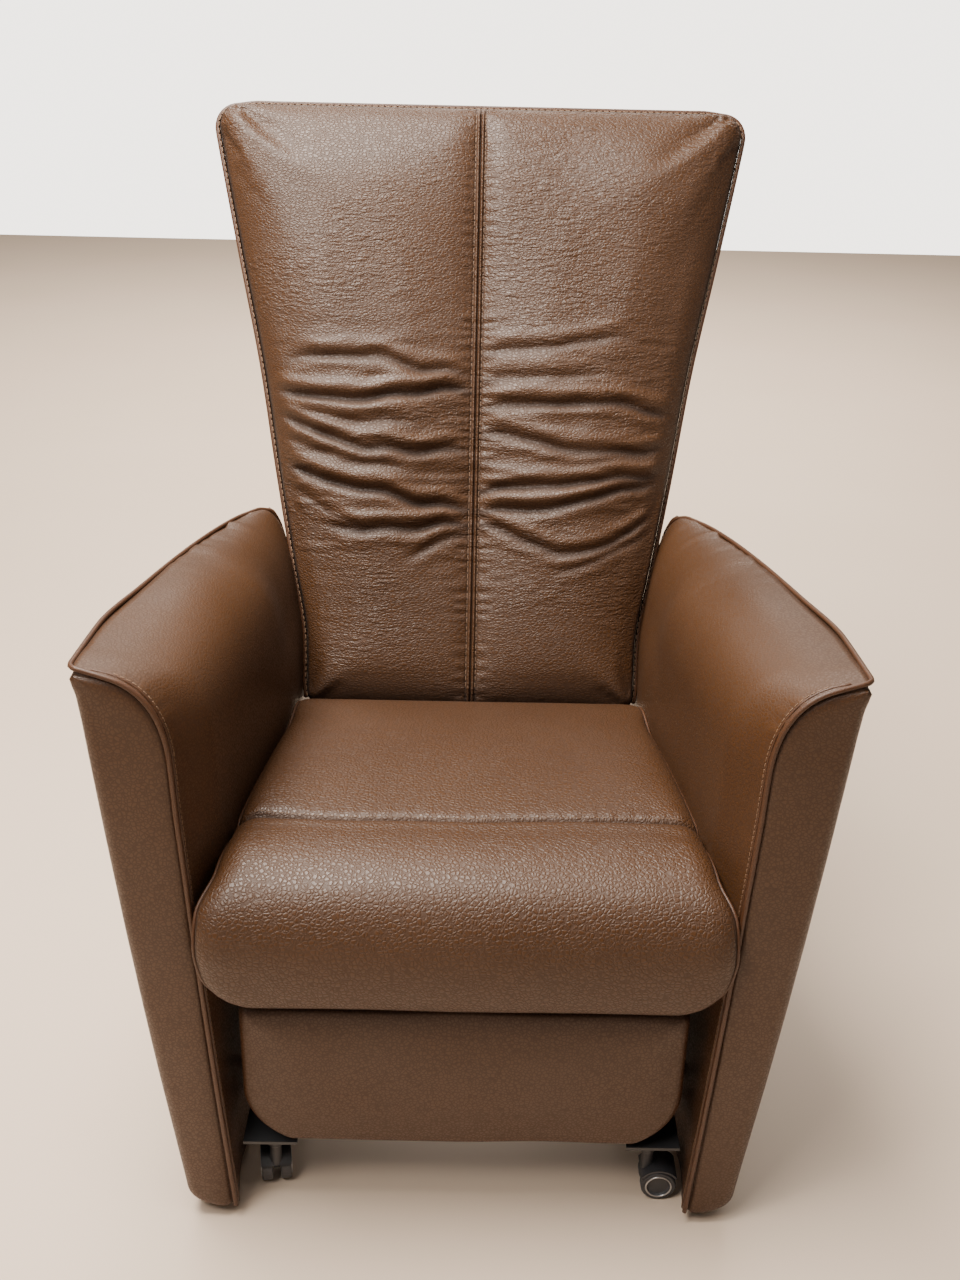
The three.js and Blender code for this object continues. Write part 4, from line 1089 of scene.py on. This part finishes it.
def seat_cover():
    def sewn(row, column):
        seam = np.abs(on_line(row, LINE_Y) - CREASE_Y) < 0.005
        return (np.abs(column) > 0.93) | seam | (row > SEAT_ROWS - 6) | (row < 4)

    rows, columns = np.arange(SEAT_ROWS), np.linspace(-1, 1, 57)
    piece = cushion("seat_cover", seat_shape, rows, columns, seat_sides, sewn, seat_detail, LEATHER_SEAT,
                    flip=True, pressure=2.4, cap=0.010)
    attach(piece, "seat")
    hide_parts("seat_cushion", "seat_front_roll")
    places = np.arange(3, SEAT_ROWS - 3, 2)
    for side, sign in (("left", -1), ("right", 1)):
        path = seat_shape(places, np.full(len(places), 0.9999 * sign))
        pinch = 0.005 * bell((path[:, 1] - CREASE_Y) / 0.012)
        path[:, 0] += sign * (0.0012 - pinch)
        piping(f"seat_piping_{side}", path, LEATHER_EDGE, "seat", 0.0021)
    tree = surface_tree(piece)
    row = []
    for x in np.linspace(-0.238, 0.238, 90):
        y = float(crease_line(np.array([x]))[0]) + 0.0075
        hit = tree.ray_cast(Vector((x, y + SHIFT, 0.6)), Vector((0, 0, -1)))[0]
        row.append([x, y, hit.z - 0.0001])
    stitches("seat_crease_stitches", row, "seat", 0.0070, 0.0046, 0.0004)


def surface_tree(piece):
    """The piece's surface for casting rays, in the row frame."""
    from mathutils.bvhtree import BVHTree

    mesh = piece.data
    return BVHTree.FromPolygons([v.co[:] for v in mesh.vertices], [list(f.vertices) for f in mesh.polygons])


# ---- footrest ----
def footrest_width(z):
    """Half-width of the footrest pad at a height. Its lower corners are rounded more than its upper ones."""
    corner, upper = FOOTREST["corner"], 0.014
    half = FOOTREST["half"] - corner * quarter(z - FOOTREST["low"], corner, 0.9995)
    return half - upper * quarter(FOOTREST["high"] - z, upper, 0.9995)


def footrest_shape(z, column):
    p = spread(column, 1.3)
    half = footrest_width(z)
    border = np.minimum.reduce([(1 - np.abs(p)) * half, z - FOOTREST["low"], FOOTREST["high"] - z])
    y = FOOTREST["front"] + 0.013 * quarter(border, 0.012) - 0.003 * smooth(0, 0.08, border)
    return np.stack([p * half, y, z], axis=-1)


def footrest_sides(lattice):
    rows, columns = lattice.shape[:2]
    border = lattice.reshape(-1, 3)[rim(rows, columns)]
    rear = FOOTREST["front"] + FOOTREST["depth"]
    return [border * [1, 1 - q, 1] + [0, rear * q, 0] for q in (0.4, 0.8, 1.0)]


def footrest_detail(lattice, z, column):
    shape = lattice.shape[:2]
    uneven = 0.0012 * noise(lattice.reshape(-1, 3), 11).reshape(shape) * (1 - smooth(0.9, 1, np.abs(column)))
    lattice[:, :, 1] -= uneven
    # painted shadow of the seat's roll: the upper part of the pad is darkened
    return lattice, 0.5 * smooth(0.262, FOOTREST["high"], z), np.zeros(shape)


def footrest_cover():
    low, high, corner = FOOTREST["low"], FOOTREST["high"], FOOTREST["corner"]
    rows = low + (high - low) * (1 - np.cos(np.linspace(0, 1, 34) * np.pi)) / 2

    def sewn(z, column):
        return (np.abs(column) > 0.95) | (z < low + 0.004) | (z > high - 0.004)

    piece = cushion("footrest_cover", footrest_shape, rows, np.linspace(-1, 1, 49), footrest_sides, sewn,
                    footrest_detail, LEATHER, pressure=2.0, cap=0.006)
    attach(piece, "footrest")
    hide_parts("footrest_pad")
    z = np.concatenate([np.linspace(high - 0.03, low + corner, 10), low + crowded(corner, 0.08, 14)])
    y = FOOTREST["front"] + 0.034
    left = np.column_stack([-footrest_width(z), np.full_like(z, y), z])
    across = np.linspace(left[-1, 0], -left[-1, 0], 20)[1:-1]
    base = np.column_stack([across, np.full((len(across), 2), [y, low])])
    outline = np.vstack([left, base, mirror(left, -1)[::-1]])
    piping("footrest_piping", outline, LEATHER_EDGE, "footrest", 0.0018)


# ---- castors ----
SLEEVE_LOW, SLEEVE_HIGH = 0.0720, 0.0788  # heights of the sleeve round a castor's stem
SLEEVE_BORE = 0.0074


def castor_sleeve(name):
    """The ribbed grey sleeve round a castor's stem, drawn from its bore up the outside and over the top."""
    stem = joint(f"castor_swivel_{name}")[0] * [1, 1, 0]
    section = [(SLEEVE_BORE, SLEEVE_LOW)]
    for n, z in enumerate(np.linspace(SLEEVE_LOW, SLEEVE_HIGH, 15)):
        section.append((0.0098 + 0.0009 * math.cos(n * math.pi / 4), z))
    section.append((SLEEVE_BORE, SLEEVE_HIGH))
    verts, faces = tube([stem + r * circle(28, [1, 0, 0], [0, 1, 0]) + [0, 0, z] for r, z in section])
    add_mesh(f"castor_sleeve_{name}", verts, faces, NYLON_HOOD, f"castor_{name}")


def castor_rims(name):
    """The bright rings of round wire on the outer faces of a castor's two wheels."""
    centre, axis = joint(f"castor_roll_{name}")
    for end, way in (("outer", 1), ("inner", -1)):
        middle = centre + axis * way * 0.0174
        rays = circle(48, np.cross(axis, UP), UP)
        verts, faces = tube([middle + 0.0150 * ray + 0.0011 * circle(8, ray, axis) for ray in rays])
        add_mesh(f"castor_rim_{end}_{name}", verts, faces, ZINC, f"wheels_{name}")


def joint(name):
    """A joint's place, in the drawing's coordinates, and its axis."""
    found = next(j for j in frame["joints"] if j["name"] == name)
    return np.array(found["pos_m"]) - [0, SHIFT, 0], np.array(found["axis"])


# ---- room, light and camera ----
def floor():
    n = Nodes("floor_pale")
    at = n.place()
    broad = n.noise(at, 1.5, 2)
    tone = n.mix(broad, (0.72, 0.555, 0.42, 1), (0.78, 0.615, 0.48, 1))
    material = n.finish(Base_Color=tone, Roughness=0.55)
    size = 6.0
    verts = [(-size, -size, 0), (size, -size, 0), (size, size, 0), (-size, size, 0)]
    piece = add_mesh("floor", verts, [(0, 1, 2, 3)], material, None)


def lamp(name, place, target, size, power, colour=(1, 0.95, 0.88)):
    light = bpy.data.lights.new(name, "AREA")
    light.shape = "RECTANGLE"
    light.size, light.size_y = size
    light.energy = power
    light.color = colour
    made = bpy.data.objects.new(name, light)
    made.location = place
    made.rotation_mode = "QUATERNION"
    made.rotation_quaternion = (Vector(target) - Vector(place)).to_track_quat("-Z", "Y")
    bpy.context.scene.collection.objects.link(made)


def light_the_room():
    """A pale room. Its walls look brighter to the camera than the light they shed."""
    world = bpy.data.worlds.new("room")
    world.use_nodes = True
    tree = world.node_tree
    background = tree.nodes["Background"]
    background.inputs["Color"].default_value = (1.0, 0.94, 0.87, 1)
    seen = tree.nodes.new("ShaderNodeLightPath").outputs["Is Camera Ray"]
    strength = tree.nodes.new("ShaderNodeMath")
    strength.operation = "MULTIPLY_ADD"
    strength.inputs[1].default_value, strength.inputs[2].default_value = 3.6, 0.14
    tree.links.new(seen, strength.inputs[0])
    tree.links.new(strength.outputs[0], background.inputs["Strength"])
    bpy.context.scene.world = world
    lamp("window", (-1.1, -1.6, 2.5), (0, 0, 0.75), (1.0, 0.8), 40)
    lamp("ceiling", (-0.7, -0.2, 2.9), (0, 0, 0.5), (1.7, 1.4), 200)
    lamp("fill", (1.9, -0.8, 2.0), (0, 0, 0.6), (1.0, 1.0), 5)
    lamp("far", (0.0, 3.2, 2.8), (0, 3.6, 0), (4.0, 2.4), 260)


def camera():
    """The camera stands in front of the chair at eye height and looks down at it."""
    place = Vector((-0.0049, -1.5642 + SHIFT, 1.3192))
    yaw, pitch, roll = math.radians(0.57), math.radians(-25.64), math.radians(1.36)
    forward = Vector((math.sin(yaw) * math.cos(pitch), math.cos(yaw) * math.cos(pitch), math.sin(pitch)))
    level = Vector((math.cos(yaw), -math.sin(yaw), 0))
    rise = level.cross(forward)
    right, up = level * math.cos(roll) + rise * math.sin(roll), rise * math.cos(roll) - level * math.sin(roll)
    lens = bpy.data.cameras.new("camera")
    lens.sensor_fit = "AUTO"
    lens.sensor_width = 36
    lens.lens = 39.4
    made = bpy.data.objects.new("camera", lens)
    turn = Matrix((right, up, -forward)).transposed().to_4x4()
    made.matrix_world = Matrix.Translation(place) @ turn
    bpy.context.scene.collection.objects.link(made)
    bpy.context.scene.camera = made


def main():
    camera()
    light_the_room()
    floor()
    back_cover()
    back_shell()
    arm("left", -1)
    arm("right", 1)
    seat_cover()
    footrest_cover()
    for name in ("front_left", "front_right", "rear_left", "rear_right"):
        castor_sleeve(name)
        castor_rims(name)


main()
